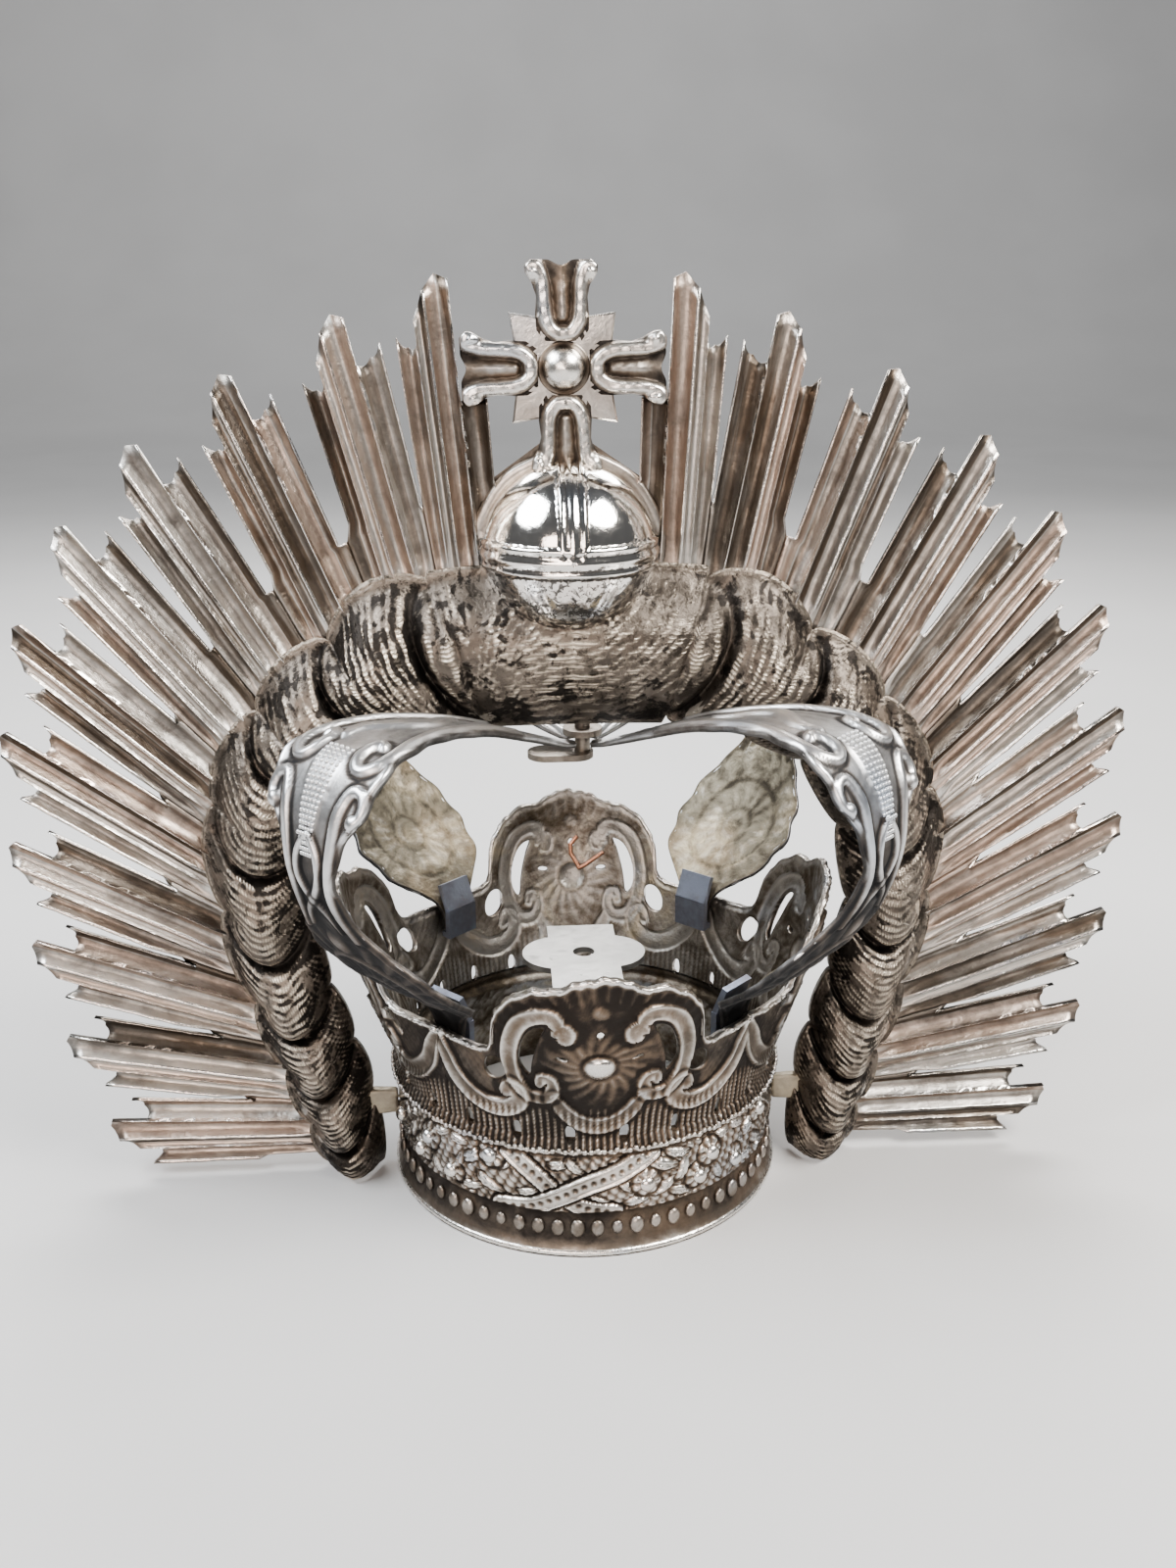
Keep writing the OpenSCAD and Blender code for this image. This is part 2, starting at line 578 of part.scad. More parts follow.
// Tie wire: a bent wire behind the rear cartouche whose end hooks through a hole
// in it; positions across and up, each a little off the cartouche's inner face
wire_rows = [[1.4, 52.4], [-0.2, 50.6], [-0.1, 48.5], [1.7, 45.3], [3.2, 46], [7.3, 49]];
function on_inside(x, z) =
    let (azimuth = 180 - asin(x / inside_r(180, z)))
        [x, sqrt(pow(inside_r(azimuth, z), 2) - x * x) - seat_gap - wire_d / 2, z];
hook = on_inside(wire_rows[3][0], wire_rows[3][1]);
module wire_leg(from, to) {
    along = to - from;
    translate(from) rotate([0, acos(along[2] / norm(along)), atan2(along[1], along[0])])
        cylinder(d = wire_d, h = norm(along), $fn = 24);
}
module tie_wire() {
    knuckle_d = wire_d * 1.06;
    hook_end = hook + [0, 2.6, 0];
    color([0.8, 0.5, 0.38]) {
        for (i = [0:len(wire_rows) - 2])
            wire_leg(on_inside(wire_rows[i][0], wire_rows[i][1]),
                     on_inside(wire_rows[i + 1][0], wire_rows[i + 1][1]));
        for (i = [1:len(wire_rows) - 2])
            translate(on_inside(wire_rows[i][0], wire_rows[i][1])) sphere(d = knuckle_d, $fn = 24);
        wire_leg(hook, hook_end);
    }
}

circlet();
arch(-arch_azimuth);  // arch_front_left
arch(arch_azimuth);  // arch_front_right
arch(180 + arch_azimuth);  // arch_rear_left
arch(180 - arch_azimuth);  // arch_rear_right
halo();
head_plate();
clip(-arch_azimuth);  // clip_front_left
clip(arch_azimuth);  // clip_front_right
clip(180 + arch_azimuth);  // clip_rear_left
clip(180 - arch_azimuth);  // clip_rear_right
top_screw();
tie_wire();
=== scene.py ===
import math

import bpy
import numpy as np
from bpy.props import FloatProperty, FloatVectorProperty, IntProperty, PointerProperty
from mathutils import Matrix, Vector


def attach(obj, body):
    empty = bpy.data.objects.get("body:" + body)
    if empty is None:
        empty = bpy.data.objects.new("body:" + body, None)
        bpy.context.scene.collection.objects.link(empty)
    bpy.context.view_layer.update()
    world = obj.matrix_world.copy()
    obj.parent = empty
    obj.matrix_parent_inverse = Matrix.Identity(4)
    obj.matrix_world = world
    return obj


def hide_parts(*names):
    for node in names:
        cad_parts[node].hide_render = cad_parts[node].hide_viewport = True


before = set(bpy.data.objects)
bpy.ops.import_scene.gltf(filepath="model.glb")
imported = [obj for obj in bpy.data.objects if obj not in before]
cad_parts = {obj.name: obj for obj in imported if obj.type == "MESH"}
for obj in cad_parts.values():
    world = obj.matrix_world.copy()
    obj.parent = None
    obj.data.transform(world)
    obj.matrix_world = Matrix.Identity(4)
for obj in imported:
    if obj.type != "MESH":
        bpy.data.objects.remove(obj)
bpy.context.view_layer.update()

bl_info = {
    "name": "Imperial crown",
    "version": (1, 0, 0),
    "blender": (4, 5, 0),
    "location": "3D View > Sidebar > Crown",
    "description": "Builds a tarnished silver imperial crown with a halo of cloud and rays",
    "category": "Object",
}

MM = 0.001

# Sizes in mm
SHEET = 1.2
GADROONS = 64
OVALS = 24
OVAL_Z = 25.8
LEDGE_Z = 22.4
GALLERY_Z = 44.0
PEAK_Z = 62.5
FLUTE = 1.4
BAND_R = 38.5
GALLERY_R = 42.0
HALO_Y = 4.4
HALO_LEAN = 0.022
LUG_Z = 15.0
CLOUD_BULGE = 10.0
ORB_R = 16.0
ORB_Z = 128.0
CROSS_Z = 160.0
ARCH_WIDTH = 31.0
OVAL_AT = 24.0
PLAIN_CUT = 0.4
RAY_RELIEF = 1.2
LOWEST = 1.0

# Wall: height, radius at an arch foot, extra radius in the middle of a cartouche
WALL = np.array([
    [0, 40, 0], [0.9, 40, 0], [4, 38.5, 0], [6, 38.5, 0], [8.2, 37.9, 0], [15, 38.9, 0],
    [21.4, 38.1, 0], [22.4, 39.7, 0], [24.6, 38.4, 0], [29, 38.9, 0.3], [34, 39.6, 1.8],
    [40, 40.5, 3.4], [46, 41.4, 4.8], [54, 42.8, 5.5], [66, 44.6, 5.3]])
# Outside of the base band: height, radius
BAND = np.array([
    [0, 39.75], [0.25, 40], [0.8, 40], [1.1, 39.6], [2.4, 38.9], [3.8, 38.5], [6, 38.35], [7.6, 38.0],
    [8.2, 37.8], [8.6, 38.2], [9.2, 37.85], [12, 38.35], [15, 38.55], [18, 38.3], [20.4, 37.9], [21, 38.0],
    [21.6, 38.9], [22.1, 39.5], [22.4, 39.45], [22.7, 38.8], [23.4, 38.4], [24.4, 38.2]])
# Top edge of a cartouche: angle from its middle, share of the peak's height
EDGE = np.array([
    [0, 1], [3, 0.99], [6, 0.95], [8, 0.88], [9.5, 0.86], [14, 0.86], [19, 0.74],
    [23, 0.56], [24.6, 0.4], [25.6, 0.14], [27, 0.04], [30, 0], [45, 0]])
# Arch: distance from the axis, height, share of the shoulder's width
ARCH = np.array([
    [37.7, 39.6, 0.23], [38.5, 46, 0.33], [43, 51, 0.8], [51, 57, 1], [58.2, 64.5, 0.86],
    [63.8, 72.5, 0.5], [67.2, 81, 0.38], [67.2, 88.5, 0.52], [65.3, 95.5, 0.82],
    [60, 101.5, 0.84], [48, 103, 0.66], [33, 100.3, 0.47], [20, 95.8, 0.34], [10, 92, 0.21],
    [3, 89.8, 0.08]])
ARCHES = (("arch_front_left", -45), ("arch_front_right", 45), ("arch_rear_right", 135), ("arch_rear_left", 225))
ARCH_NODES = tuple(name for name, _ in ARCHES)
# Creases of the cloud's right half: outer x, z and inner x, z
CREASE = np.array([
    [26.3, 124.4, 17, 94.6], [46.2, 113.3, 31, 92.4], [60.5, 99.5, 43, 86],
    [70.3, 80.5, 50.5, 72.6], [70.6, 58.4, 52.8, 56.8], [66.3, 38, 49.8, 41.8],
    [61.5, 22.4, 46.2, 29.6], [57.6, 9.8, 43.4, 17.4], [54.6, 1, 42.2, 1]])
CREASES = np.concatenate([CREASE[::-1] * [-1, 1, -1, 1], CREASE])
LOBES = len(CREASES) - 1
# Section of the cloud: share of the way in, share of the bulge
SECTION = np.array([[0, 0], [0.05, 0.04], [0.12, 0.24], [0.18, 0.46], [0.26, 0.7], [0.38, 0.92], [0.5, 1],
                    [0.64, 0.93], [0.78, 0.72], [0.9, 0.4], [1, 0.06]])
# Ray groups of the right half: slot point x, z, direction, distance to the cloud
GROUPS = np.array([
    [19.8, 140, 4, 14.8], [33, 134.6, 12.5, 11.4], [48, 126.8, 21.5, 12.2],
    [61.4, 117.4, 29.5, 13.1], [72, 106.2, 37.5, 13.9], [78.8, 91.8, 46, 12.8],
    [81.6, 75, 54, 12.8], [81.2, 57, 62, 13.4], [78.6, 40.4, 70, 13.7],
    [74, 24.2, 79, 12.9], [67.8, 9.4, 88.5, 10.4]])
GROUP_WIDTH = 15.4
SLOT_WIDTH = 0.88
RAY_REACH = 36.0
RAY_TAPER = 6.0
# Section of a group: share across, height, cut of the short rays, cut of the long one
RAY_LINES = np.array([
    [-0.5, 0.9, 0.82, 0], [-0.34, -1, 0.76, 0], [-0.17, 0.9, 0.74, 0.97],
    [-0.02, -1, 0.72, 1], [0.13, 0.8, 0.7, 0.93], [0.2, 0, 0.69, 0.86],
    [0.27, 0.6, 0.68, 0.8], [0.38, -1, 0.67, 0], [0.5, 0.9, 0.72, 0]])

# Drawing of the relief. Round the circlet: angle and height. On an arch: mm across and mm along.
RIBBON_A = [(-26, 20.8), (-17.2, 16.4), (-11.8, 13.1), (-4.5, 9.9), (5, 8.4)]
RIBBON_B = [(15.5, 20.6), (6.4, 17.2), (-3.6, 14.6), (-11.9, 11.6), (-19.6, 9.2), (-28, 8.4)]
BLOSSOMS = [(30.6, 12.7), (35, 16.8), (-45, 12.4), (-31, 19), (14, 14.2)]
LEAVES = [  # angle, height, turn, length of half a leaf
    (12.5, 10.8, 25, 3.2), (19, 17.4, -20, 3.6), (19.5, 12.6, 30, 3.2), (25.5, 15.6, 70, 3.0),
    (26, 10.4, -8, 3.2), (24, 19, -12, 2.8), (38.5, 11.2, -60, 2.6), (39.5, 19.2, 10, 2.8),
    (9, 13.6, -35, 2.6), (7.5, 19.2, 10, 2.8), (-31.5, 12.4, -25, 3.4), (-36.5, 17.6, 35, 3.4),
    (-38, 10.6, 10, 3.0), (-42.5, 14.4, 65, 3.0), (-27.5, 17.4, 20, 3.0), (-43, 19.4, -10, 2.6),
    (-19.5, 12.6, 15, 2.4), (-10, 19, 15, 2.8), (-6.5, 18.4, -40, 2.4), (0.5, 11.2, -20, 2.4)]
C_SCROLL = [(9.5, 51.2), (8, 52.6), (6.8, 51.6), (7.6, 50), (9.8, 54.2), (13.6, 54.4), (17.6, 52.4),
            (20.3, 48), (21.3, 43.2), (20.4, 38.6), (17.4, 35.5), (13.4, 35.1), (11.2, 37),
            (11.6, 39.6), (13.6, 40.2), (14.2, 38.6)]
S_SCROLL = [(44.6, 42.2), (42.6, 39.6), (40.4, 36), (36, 32.8), (30.6, 30.8), (25, 30.8), (20.9, 32.8),
            (20.2, 35.6), (22.2, 36.8), (23.6, 35.4)]
SWAG = [(10.8, 35), (8.6, 31.6), (5, 29), (0, 28), (-5, 29), (-8.6, 31.6), (-10.8, 35)]
SLOT_PATH = [(12.2, 51.8), (14.6, 49.9), (16.6, 46.2), (17.4, 42.8), (16.9, 40.2)]
HOOK = [(3.8, 114), (5.0, 104), (6.4, 96), (7.8, 89), (9.2, 83), (10.0, 78.5), (9.6, 75.2), (7.6, 73.6),
        (5.6, 74.7), (4.9, 77.6), (5.7, 80.4), (7.0, 79.6)]
WAIST_SCROLL = [(10.2, 64.8), (11.2, 67.2), (10.4, 69.8), (8.2, 70.2), (6.7, 67), (5.9, 62), (5.1, 56.5),
                (4.5, 51), (5.0, 46.5), (6.3, 42)]
CREST_LEAF = [(-3.2, 80), (-3.4, 84), (-1.0, 87.5), (1.4, 91.5), (1.2, 96), (-0.8, 99.5), (-1.4, 103)]
KNOT = [(-3.9, 43.5), (-2.2, 47.5), (0.8, 51), (2.6, 54.5), (2.4, 58), (1.0, 60.6), (0, 61.6)]
# Band of a cross arm, across and outwards
ARM_BAND = [(-5.0, 15.6), (-5.4, 16.8), (-4.2, 16.9), (-3.4, 14.6), (-3.2, 11), (-2.8, 8), (-1.6, 6.2),
            (0, 5.8), (1.6, 6.2), (2.8, 8), (3.2, 11), (3.4, 14.6), (4.2, 16.9), (5.4, 16.8), (5.0, 15.6)]


# Shape helpers
def rad(a):
    return np.radians(a)


def polar(r, az, z):
    return np.stack([r * np.sin(rad(az)), -r * np.cos(rad(az)), z + 0 * r], -1)


def from_middle(az):
    return np.abs((az + 405) % 90 - 45)


def wall_r(az, z):
    c = np.cos(rad(2 * from_middle(az)))
    return np.interp(z, WALL[:, 0], WALL[:, 1]) + np.interp(z, WALL[:, 0], WALL[:, 2]) * (c * c + c) / 2


def step(a, b, x):
    t = np.clip((x - a) / (b - a), 0, 1)
    return t * t * (3 - 2 * t)


def window(x, a, b, c, d):
    """Rises from a to b and falls again from c to d."""
    return step(a, b, x) * (1 - step(c, d, x))


def bell(x, at, width):
    return np.exp(-((x - at) / width) ** 2)


def smooth_rows(rows, t):
    """Points of a smooth curve through a table's rows, t counted in rows."""
    rows = np.asarray(rows, float)
    i = np.clip(np.floor(t).astype(int), 0, len(rows) - 2)
    f = (t - i)[..., None]
    a, b = rows[np.maximum(i - 1, 0)], rows[i]
    c, d = rows[i + 1], rows[np.minimum(i + 2, len(rows) - 1)]
    return 0.5 * (2 * b + (c - a) * f + (2 * a - 5 * b + 4 * c - d) * f * f
                  + (3 * b - a - 3 * c + d) * f ** 3)


def curve_points(rows, n=40, r=None):
    """Points of a smooth curve; with a radius r, its angles become mm."""
    p = np.array(rows, float)
    if r is not None:
        p[:, 0] = rad(p[:, 0]) * r
    return smooth_rows(p, np.linspace(0, len(rows) - 1, n))


def line_distance(x, y, path):
    """Distance to a path and the share of its length there."""
    a, b = path[:-1], path[1:]
    run = np.concatenate([[0], np.cumsum(np.hypot(*(b - a).T))])
    best = np.full(x.shape, 1e9)
    share = np.zeros(x.shape)
    for k, d in enumerate(b - a):
        t = np.clip(((x - a[k, 0]) * d[0] + (y - a[k, 1]) * d[1]) / max(d @ d, 1e-9), 0, 1)
        dist = np.hypot(x - a[k, 0] - t * d[0], y - a[k, 1] - t * d[1])
        near = dist < best
        best = np.where(near, dist, best)
        share = np.where(near, (run[k] + t * (run[k + 1] - run[k])) / run[-1], share)
    return best, share


def moulding(x, y, path, half, height, taper=0.35, groove=0.0):
    """A half-round moulding that follows a path and thins towards its ends."""
    d, s = line_distance(x, y, path)
    u = np.clip(d / (half * (1 - taper * np.abs(2 * s - 1) ** 3)), 0, 1)
    return height * (np.sqrt(np.clip(1 - u * u, 0, 1)) - groove * bell(u, 0, 0.35))


def channel(x, y, path, half, height, taper=0.4, floor=0.35):
    """A hollow moulding with a raised rim on each side, thinner towards its ends."""
    d, s = line_distance(x, y, path)
    u = np.clip(d / (half * (1 - taper * np.abs(2 * s - 1) ** 3)), 0, 1)
    rim = np.clip((u - 0.72) / 0.28, 0, 1)
    return height * (floor + (1 - floor) * np.clip(u / 0.72, 0, 1) ** 2.2) * np.sqrt(1 - rim * rim)


def dome(x, y, cx, cy, r, height, stretch=1.0):
    q = ((x - cx) ** 2 + ((y - cy) / stretch) ** 2) / r ** 2
    return height * np.sqrt(np.clip(1 - q, 0, 1))


def pits(x, y, z, size, seed=0.0):
    """A smooth bumpy field between -1 and 1."""
    k = 2 * math.pi / size
    return (np.sin(k * x + 1.7 * np.sin(k * 0.61 * y + seed) + 0.3)
            * np.sin(k * 0.93 * y + 1.3 * np.sin(k * 0.57 * z + 2.1 * seed) + 1.1)
            + 0.6 * np.sin(k * 1.31 * z + 1.5 * np.sin(k * 0.83 * x + seed))) / 1.6


def scales(x, y, w, h):
    """Overlapping round scales, 0 at their joints and 1 at their crowns."""
    best = np.zeros(x.shape)
    for row in (np.floor(y / h), np.floor(y / h) + 1):
        shift = 0.5 * w * (row % 2)
        cx = (np.round((x - shift) / w)) * w + shift
        q = 1 - ((x - cx) / (0.62 * w)) ** 2 - ((y - row * h - 0.2 * h) / (1.05 * h)) ** 2
        best = np.maximum(best, np.sqrt(np.clip(q, 0, 1)))
    return best


# Mesh helpers
def make_mesh(name, verts, faces, lift, plan=None):
    """A mesh with its lift (0 in a hollow, 1 on a crown) and its place on the flat sheet."""
    me = bpy.data.meshes.new(name)
    verts = np.reshape(verts, (-1, 3)) * MM
    faces = [np.asarray(f, int) for f in (faces if isinstance(faces, list) else [faces])]
    sizes = np.concatenate([np.full(len(f), f.shape[1]) for f in faces])
    loops = np.concatenate([f.ravel() for f in faces])
    me.vertices.add(len(verts))
    me.vertices.foreach_set("co", verts.ravel())
    me.loops.add(len(loops))
    me.loops.foreach_set("vertex_index", loops)
    me.polygons.add(len(sizes))
    me.polygons.foreach_set("loop_start", np.concatenate([[0], np.cumsum(sizes)[:-1]]))
    me.update(calc_edges=True)
    me.validate()
    me.polygons.foreach_set("use_smooth", np.ones(len(me.polygons), bool))
    lift = np.full(len(verts), np.ravel(lift), float)
    me.attributes.new("lift", "FLOAT", "POINT").data.foreach_set("value", lift)
    if plan is not None:
        full = np.zeros((len(verts), 3))
        full[:, :plan.shape[-1]] = plan.reshape(-1, plan.shape[-1])
        me.attributes.new("plan", "FLOAT_VECTOR", "POINT").data.foreach_set("vector", full.ravel())
    return me


def add_piece(name, me, finish, nodes):
    """Link a piece in place of CAD nodes, with its finish and its colour slot."""
    obj = bpy.data.objects.new(name, me)
    bpy.context.scene.collection.objects.link(obj)
    me.materials.clear()
    me.materials.append(finish_of(finish))
    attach(obj, "root")
    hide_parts(*nodes)
    nodes[0].split("_")[0] + "_silver"
    return obj


def grid_quads(rows, cols, closed=False):
    i, j = np.meshgrid(np.arange(rows - 1), np.arange(cols if closed else cols - 1), indexing="ij")
    a, b = i * cols + j, i * cols + (j + 1) % cols
    return np.stack([a, b, b + cols, a + cols], -1).reshape(-1, 4)


def cap(ring_start, cols, tip):
    """Triangles from a ring of points to its tip."""
    j = np.arange(cols)
    return np.stack([ring_start + j, ring_start + (j + 1) % cols, np.full(cols, tip)], 1)


def clip_grid(points, values, field, quads):
    """Cut a grid where field is negative; new points lie on its zero line."""
    whole = (field[quads] > 0).all(1)
    tris = np.concatenate([quads[~whole][:, [0, 1, 2]], quads[~whole][:, [0, 2, 3]]])
    inside = field[tris] > 0
    count = inside.sum(1)
    new_points, new_values, index, extra = [], [], {}, []

    def cross(a, b):
        key = (min(a, b), max(a, b))
        if key not in index:
            t = field[a] / (field[a] - field[b])
            index[key] = len(points) + len(new_points)
            new_points.append(points[a] + (points[b] - points[a]) * t)
            new_values.append(values[a] + (values[b] - values[a]) * t)
        return index[key]

    split = (count == 1) | (count == 2)
    for tri, ins, c in zip(tris[split], inside[split], count[split]):
        k = int(np.argmax(ins == (c == 1)))
        a, b, d = tri[k], tri[(k + 1) % 3], tri[(k + 2) % 3]
        p, q = cross(a, b), cross(a, d)
        extra += [[a, p, q]] if c == 1 else [[p, b, d], [p, d, q]]
    faces = [quads[whole], np.concatenate([tris[count == 3], np.array(extra)])]
    return np.concatenate([points, new_points]), np.concatenate([values, new_values]), faces


def open_edges(faces):
    """Edges that belong to one face only, in that face's direction."""
    pairs = np.concatenate([np.stack([f[:, k], f[:, (k + 1) % f.shape[1]]], 1)
                            for f in faces for k in range(f.shape[1])])
    _, where, count = np.unique(np.sort(pairs, 1), axis=0, return_index=True, return_counts=True)
    return pairs[where[count == 1]]


def sheet_mesh(name, front, back, faces, lift, back_lift, plan=None, flip=False):
    """A closed sheet between two surfaces of the same topology."""
    front, back, lift = np.reshape(front, (-1, 3)), np.reshape(back, (-1, 3)), np.ravel(lift)
    back_lift = np.broadcast_to(np.ravel(back_lift), lift.shape)
    used = np.unique(np.concatenate([f.ravel() for f in faces]))
    place = np.full(len(front), -1)
    place[used] = np.arange(len(used))
    kinds = {4: [], 3: []}
    for f in faces:
        kinds[f.shape[1]] += [place[f], place[f][:, ::-1] + len(used)]
    r = place[open_edges(faces)]
    kinds[4].append(np.stack([r[:, 1], r[:, 0], r[:, 0] + len(used), r[:, 1] + len(used)], 1))
    merged = [np.concatenate(k)[:, ::-1 if flip else 1] for k in kinds.values() if k]
    if plan is not None:
        plan = np.tile(plan.reshape(len(lift), -1)[used], (2, 1))
    return make_mesh(name, np.concatenate([front[used], back[used]]), merged,
                     np.concatenate([lift[used], back_lift[used]]), plan)


# Shader helpers
class Value:
    """A socket whose arithmetic adds Math nodes."""

    def __init__(self, shade, socket):
        self.shade, self.socket = shade, socket

    def math(self, op, *values):
        return self.shade.node("ShaderNodeMath", {"operation": op}, dict(enumerate(values)))

    def __add__(self, o):
        return self.math("ADD", self, o)

    __radd__ = __add__

    def __sub__(self, o):
        return self.math("SUBTRACT", self, o)

    def __rsub__(self, o):
        return self.math("SUBTRACT", o, self)

    def __mul__(self, o):
        return self.math("MULTIPLY", self, o)

    __rmul__ = __mul__

    def sine(self):
        return self.math("SINE", self)

    def clamp(self):
        return self.shade.node("ShaderNodeClamp", {}, {0: self})

    def ramp(self, low, high):
        return self.shade.node("ShaderNodeMapRange", {"interpolation_type": "SMOOTHSTEP"},
                               {0: self, 1: low, 2: high})


class Shade:
    """A material's node tree."""

    def __init__(self, name):
        self.mat = bpy.data.materials.new(name)
        self.mat.use_nodes = True
        self.tree = self.mat.node_tree
        self.tree.nodes.clear()
        out = self.tree.nodes.new("ShaderNodeOutputMaterial")
        self.bsdf = self.tree.nodes.new("ShaderNodeBsdfPrincipled")
        self.tree.links.new(self.bsdf.outputs[0], out.inputs[0])
        self.coords = self.node("ShaderNodeTexCoord", {}, {}, "Object")

    def feed(self, socket, value):
        if isinstance(value, Value):
            self.tree.links.new(value.socket, socket)
        else:
            socket.default_value = value

    def node(self, kind, settings, values, output=0):
        n = self.tree.nodes.new(kind)
        for key, val in settings.items():
            setattr(n, key, val)
        for key, val in values.items():
            self.feed(n.inputs[key], val)
        return Value(self, n.outputs[output])

    def noise(self, scale, detail=3.0, rough=0.55, vector=None, distortion=0.0):
        return self.node("ShaderNodeTexNoise", {}, {"Vector": vector or self.coords, "Scale": scale,
                         "Detail": detail, "Roughness": rough, "Distortion": distortion})

    def attribute(self, name, output="Fac"):
        return self.node("ShaderNodeAttribute", {"attribute_name": name}, {}, output)

    def plan(self, axis):
        return self.node("ShaderNodeSeparateXYZ", {}, {0: self.attribute("plan", "Vector")}, axis)

    def stretched(self, detail, rough, across, along):
        """Noise drawn out along the flat sheet."""
        vector = self.node("ShaderNodeVectorMath", {"operation": "MULTIPLY"},
                           {0: self.attribute("plan", "Vector"), 1: (across, along, 1.0)})
        return self.noise(1.0, detail, rough, vector)

    def mix(self, fac, a, b):
        return self.node("ShaderNodeMix", {"data_type": "RGBA"}, {0: fac, 6: rgba(a), 7: rgba(b)}, 2)

    def bump(self, height, strength, distance, after=None):
        values = {"Height": height, "Strength": strength, "Distance": distance}
        if after is not None:
            values["Normal"] = after
        return self.node("ShaderNodeBump", {}, values)

    def done(self, **values):
        """Feed the Principled sockets and return the material."""
        for key, val in values.items():
            self.feed(self.bsdf.inputs[key.replace("_", " ")], val)
        return self.mat


def rgba(c):
    return c if isinstance(c, Value) else (*c[:3], 1.0)


def times(c, *k):
    """A colour with all channels, or each one, scaled and kept below 1."""
    k = k * 3 if len(k) == 1 else k
    return tuple(min(1.0, x * y) for x, y in zip(c, k))


# Materials
def tarnished_silver(name, bright, oxide, dark, wear=0.0, soot=0.0, blush=0.3, rough=0.26,
                     pit=0.5, beige=0.0, spots=0.0, streaks=0.0, grain=0.9):
    """Silver with brown oxide in its hollows, rubbed bright on its crowns."""
    s = Shade(name)
    lift = s.attribute("lift")
    broad, mottle = s.noise(34, 4, 0.6), s.noise(150, 6, 0.7, distortion=0.4)
    fine, grains = s.noise(900, 3, 0.6), s.noise(2400, 2, 0.5)
    level = lift + (mottle - 0.5) * grain + (broad - 0.5) * (0.8 * grain)
    rub = (level + wear).ramp(0.25, 0.72)
    hollow = 1.0 - (level - soot).ramp(0.04, 0.34)
    warm = s.mix(broad.ramp(0.42, 0.6), oxide, times(oxide, 1.2, 1.08, 0.98))
    tint = s.mix(s.noise(64, 3, 0.5).ramp(0.5, 0.7) * blush, bright, (0.72, 0.6, 0.53))
    cool = s.mix(s.noise(47, 2, 0.5).ramp(0.54, 0.72) * 0.6, tint, (0.5, 0.56, 0.64))
    col = s.mix(rub, warm, cool)
    if streaks > 0:
        lines = s.stretched(3, 0.6, 0.9, 0.07)
        col = s.mix(lines.ramp(0.52, 0.66) * streaks, col, times(oxide, 0.42, 0.4, 0.38))
        patch = s.stretched(2, 0.5, 0.5, 0.045)
        col = s.mix(patch.ramp(0.48, 0.58) * streaks * 0.5, col, bright)
        # painted light facet by facet: a random number for each facet gives some facets a painted highlight,
        # some a painted pinkish reflection and some painted shade
        facet_light = s.plan(2)
        col = s.mix((facet_light.ramp(0.3, 0.42) - facet_light.ramp(0.6, 0.7)) * 0.5, col, bright)
        col = s.mix(facet_light.ramp(0.62, 0.76) * 0.55, col, (0.56, 0.445, 0.375))
        col = s.mix((1.0 - facet_light.ramp(0.14, 0.3)) * 0.7, col, times(oxide, 0.5, 0.46, 0.42))
    col = s.mix(hollow * 0.95, col, dark)
    if beige > 0:
        col = s.mix((mottle * 0.7 + broad * 0.6 + (beige - 0.9)).ramp(0.0, 0.3), col, (0.5, 0.43, 0.3))
    roughness = rough + (1 - rub) * 0.16 + hollow * 0.22 + (fine - 0.5) * 0.16
    if spots > 0:
        black = (s.noise(760, 5, 0.8, distortion=0.5) - lift * 0.5).ramp(0.22, 0.25) * spots
        col = s.mix(black, col, (0.014, 0.012, 0.011))
        roughness = roughness + black * 0.3
    first = s.bump(fine * 0.6 + mottle, pit, 0.0006)
    return s.done(Base_Color=col, Roughness=roughness.clamp(), Metallic=(1.0 - hollow * 0.4).clamp(),
                  Normal=s.bump(grains, 0.2 * pit + 0.04, 0.0002, first))


def plain_metal(name, colour, shade, rough, metal, scale=120.0, stain=(0.3, 0.27, 0.22), stain_share=0.3,
                bumpy=0.35):
    """Even metal with a soft mottle and a few stains."""
    s = Shade(name)
    broad, fine = s.noise(scale, 4, 0.6), s.noise(scale * 9, 3, 0.6)
    col = s.mix(broad.ramp(0.3, 0.7), colour, shade)
    col = s.mix((s.noise(scale * 2.3, 5, 0.7)).ramp(0.55, 0.75) * stain_share, col, stain)
    return s.done(Base_Color=col, Roughness=(rough + (fine - 0.5) * 0.25 + (broad - 0.5) * 0.15).clamp(),
                  Metallic=metal, Normal=s.bump(fine + broad * 0.6, bumpy, 0.0004))


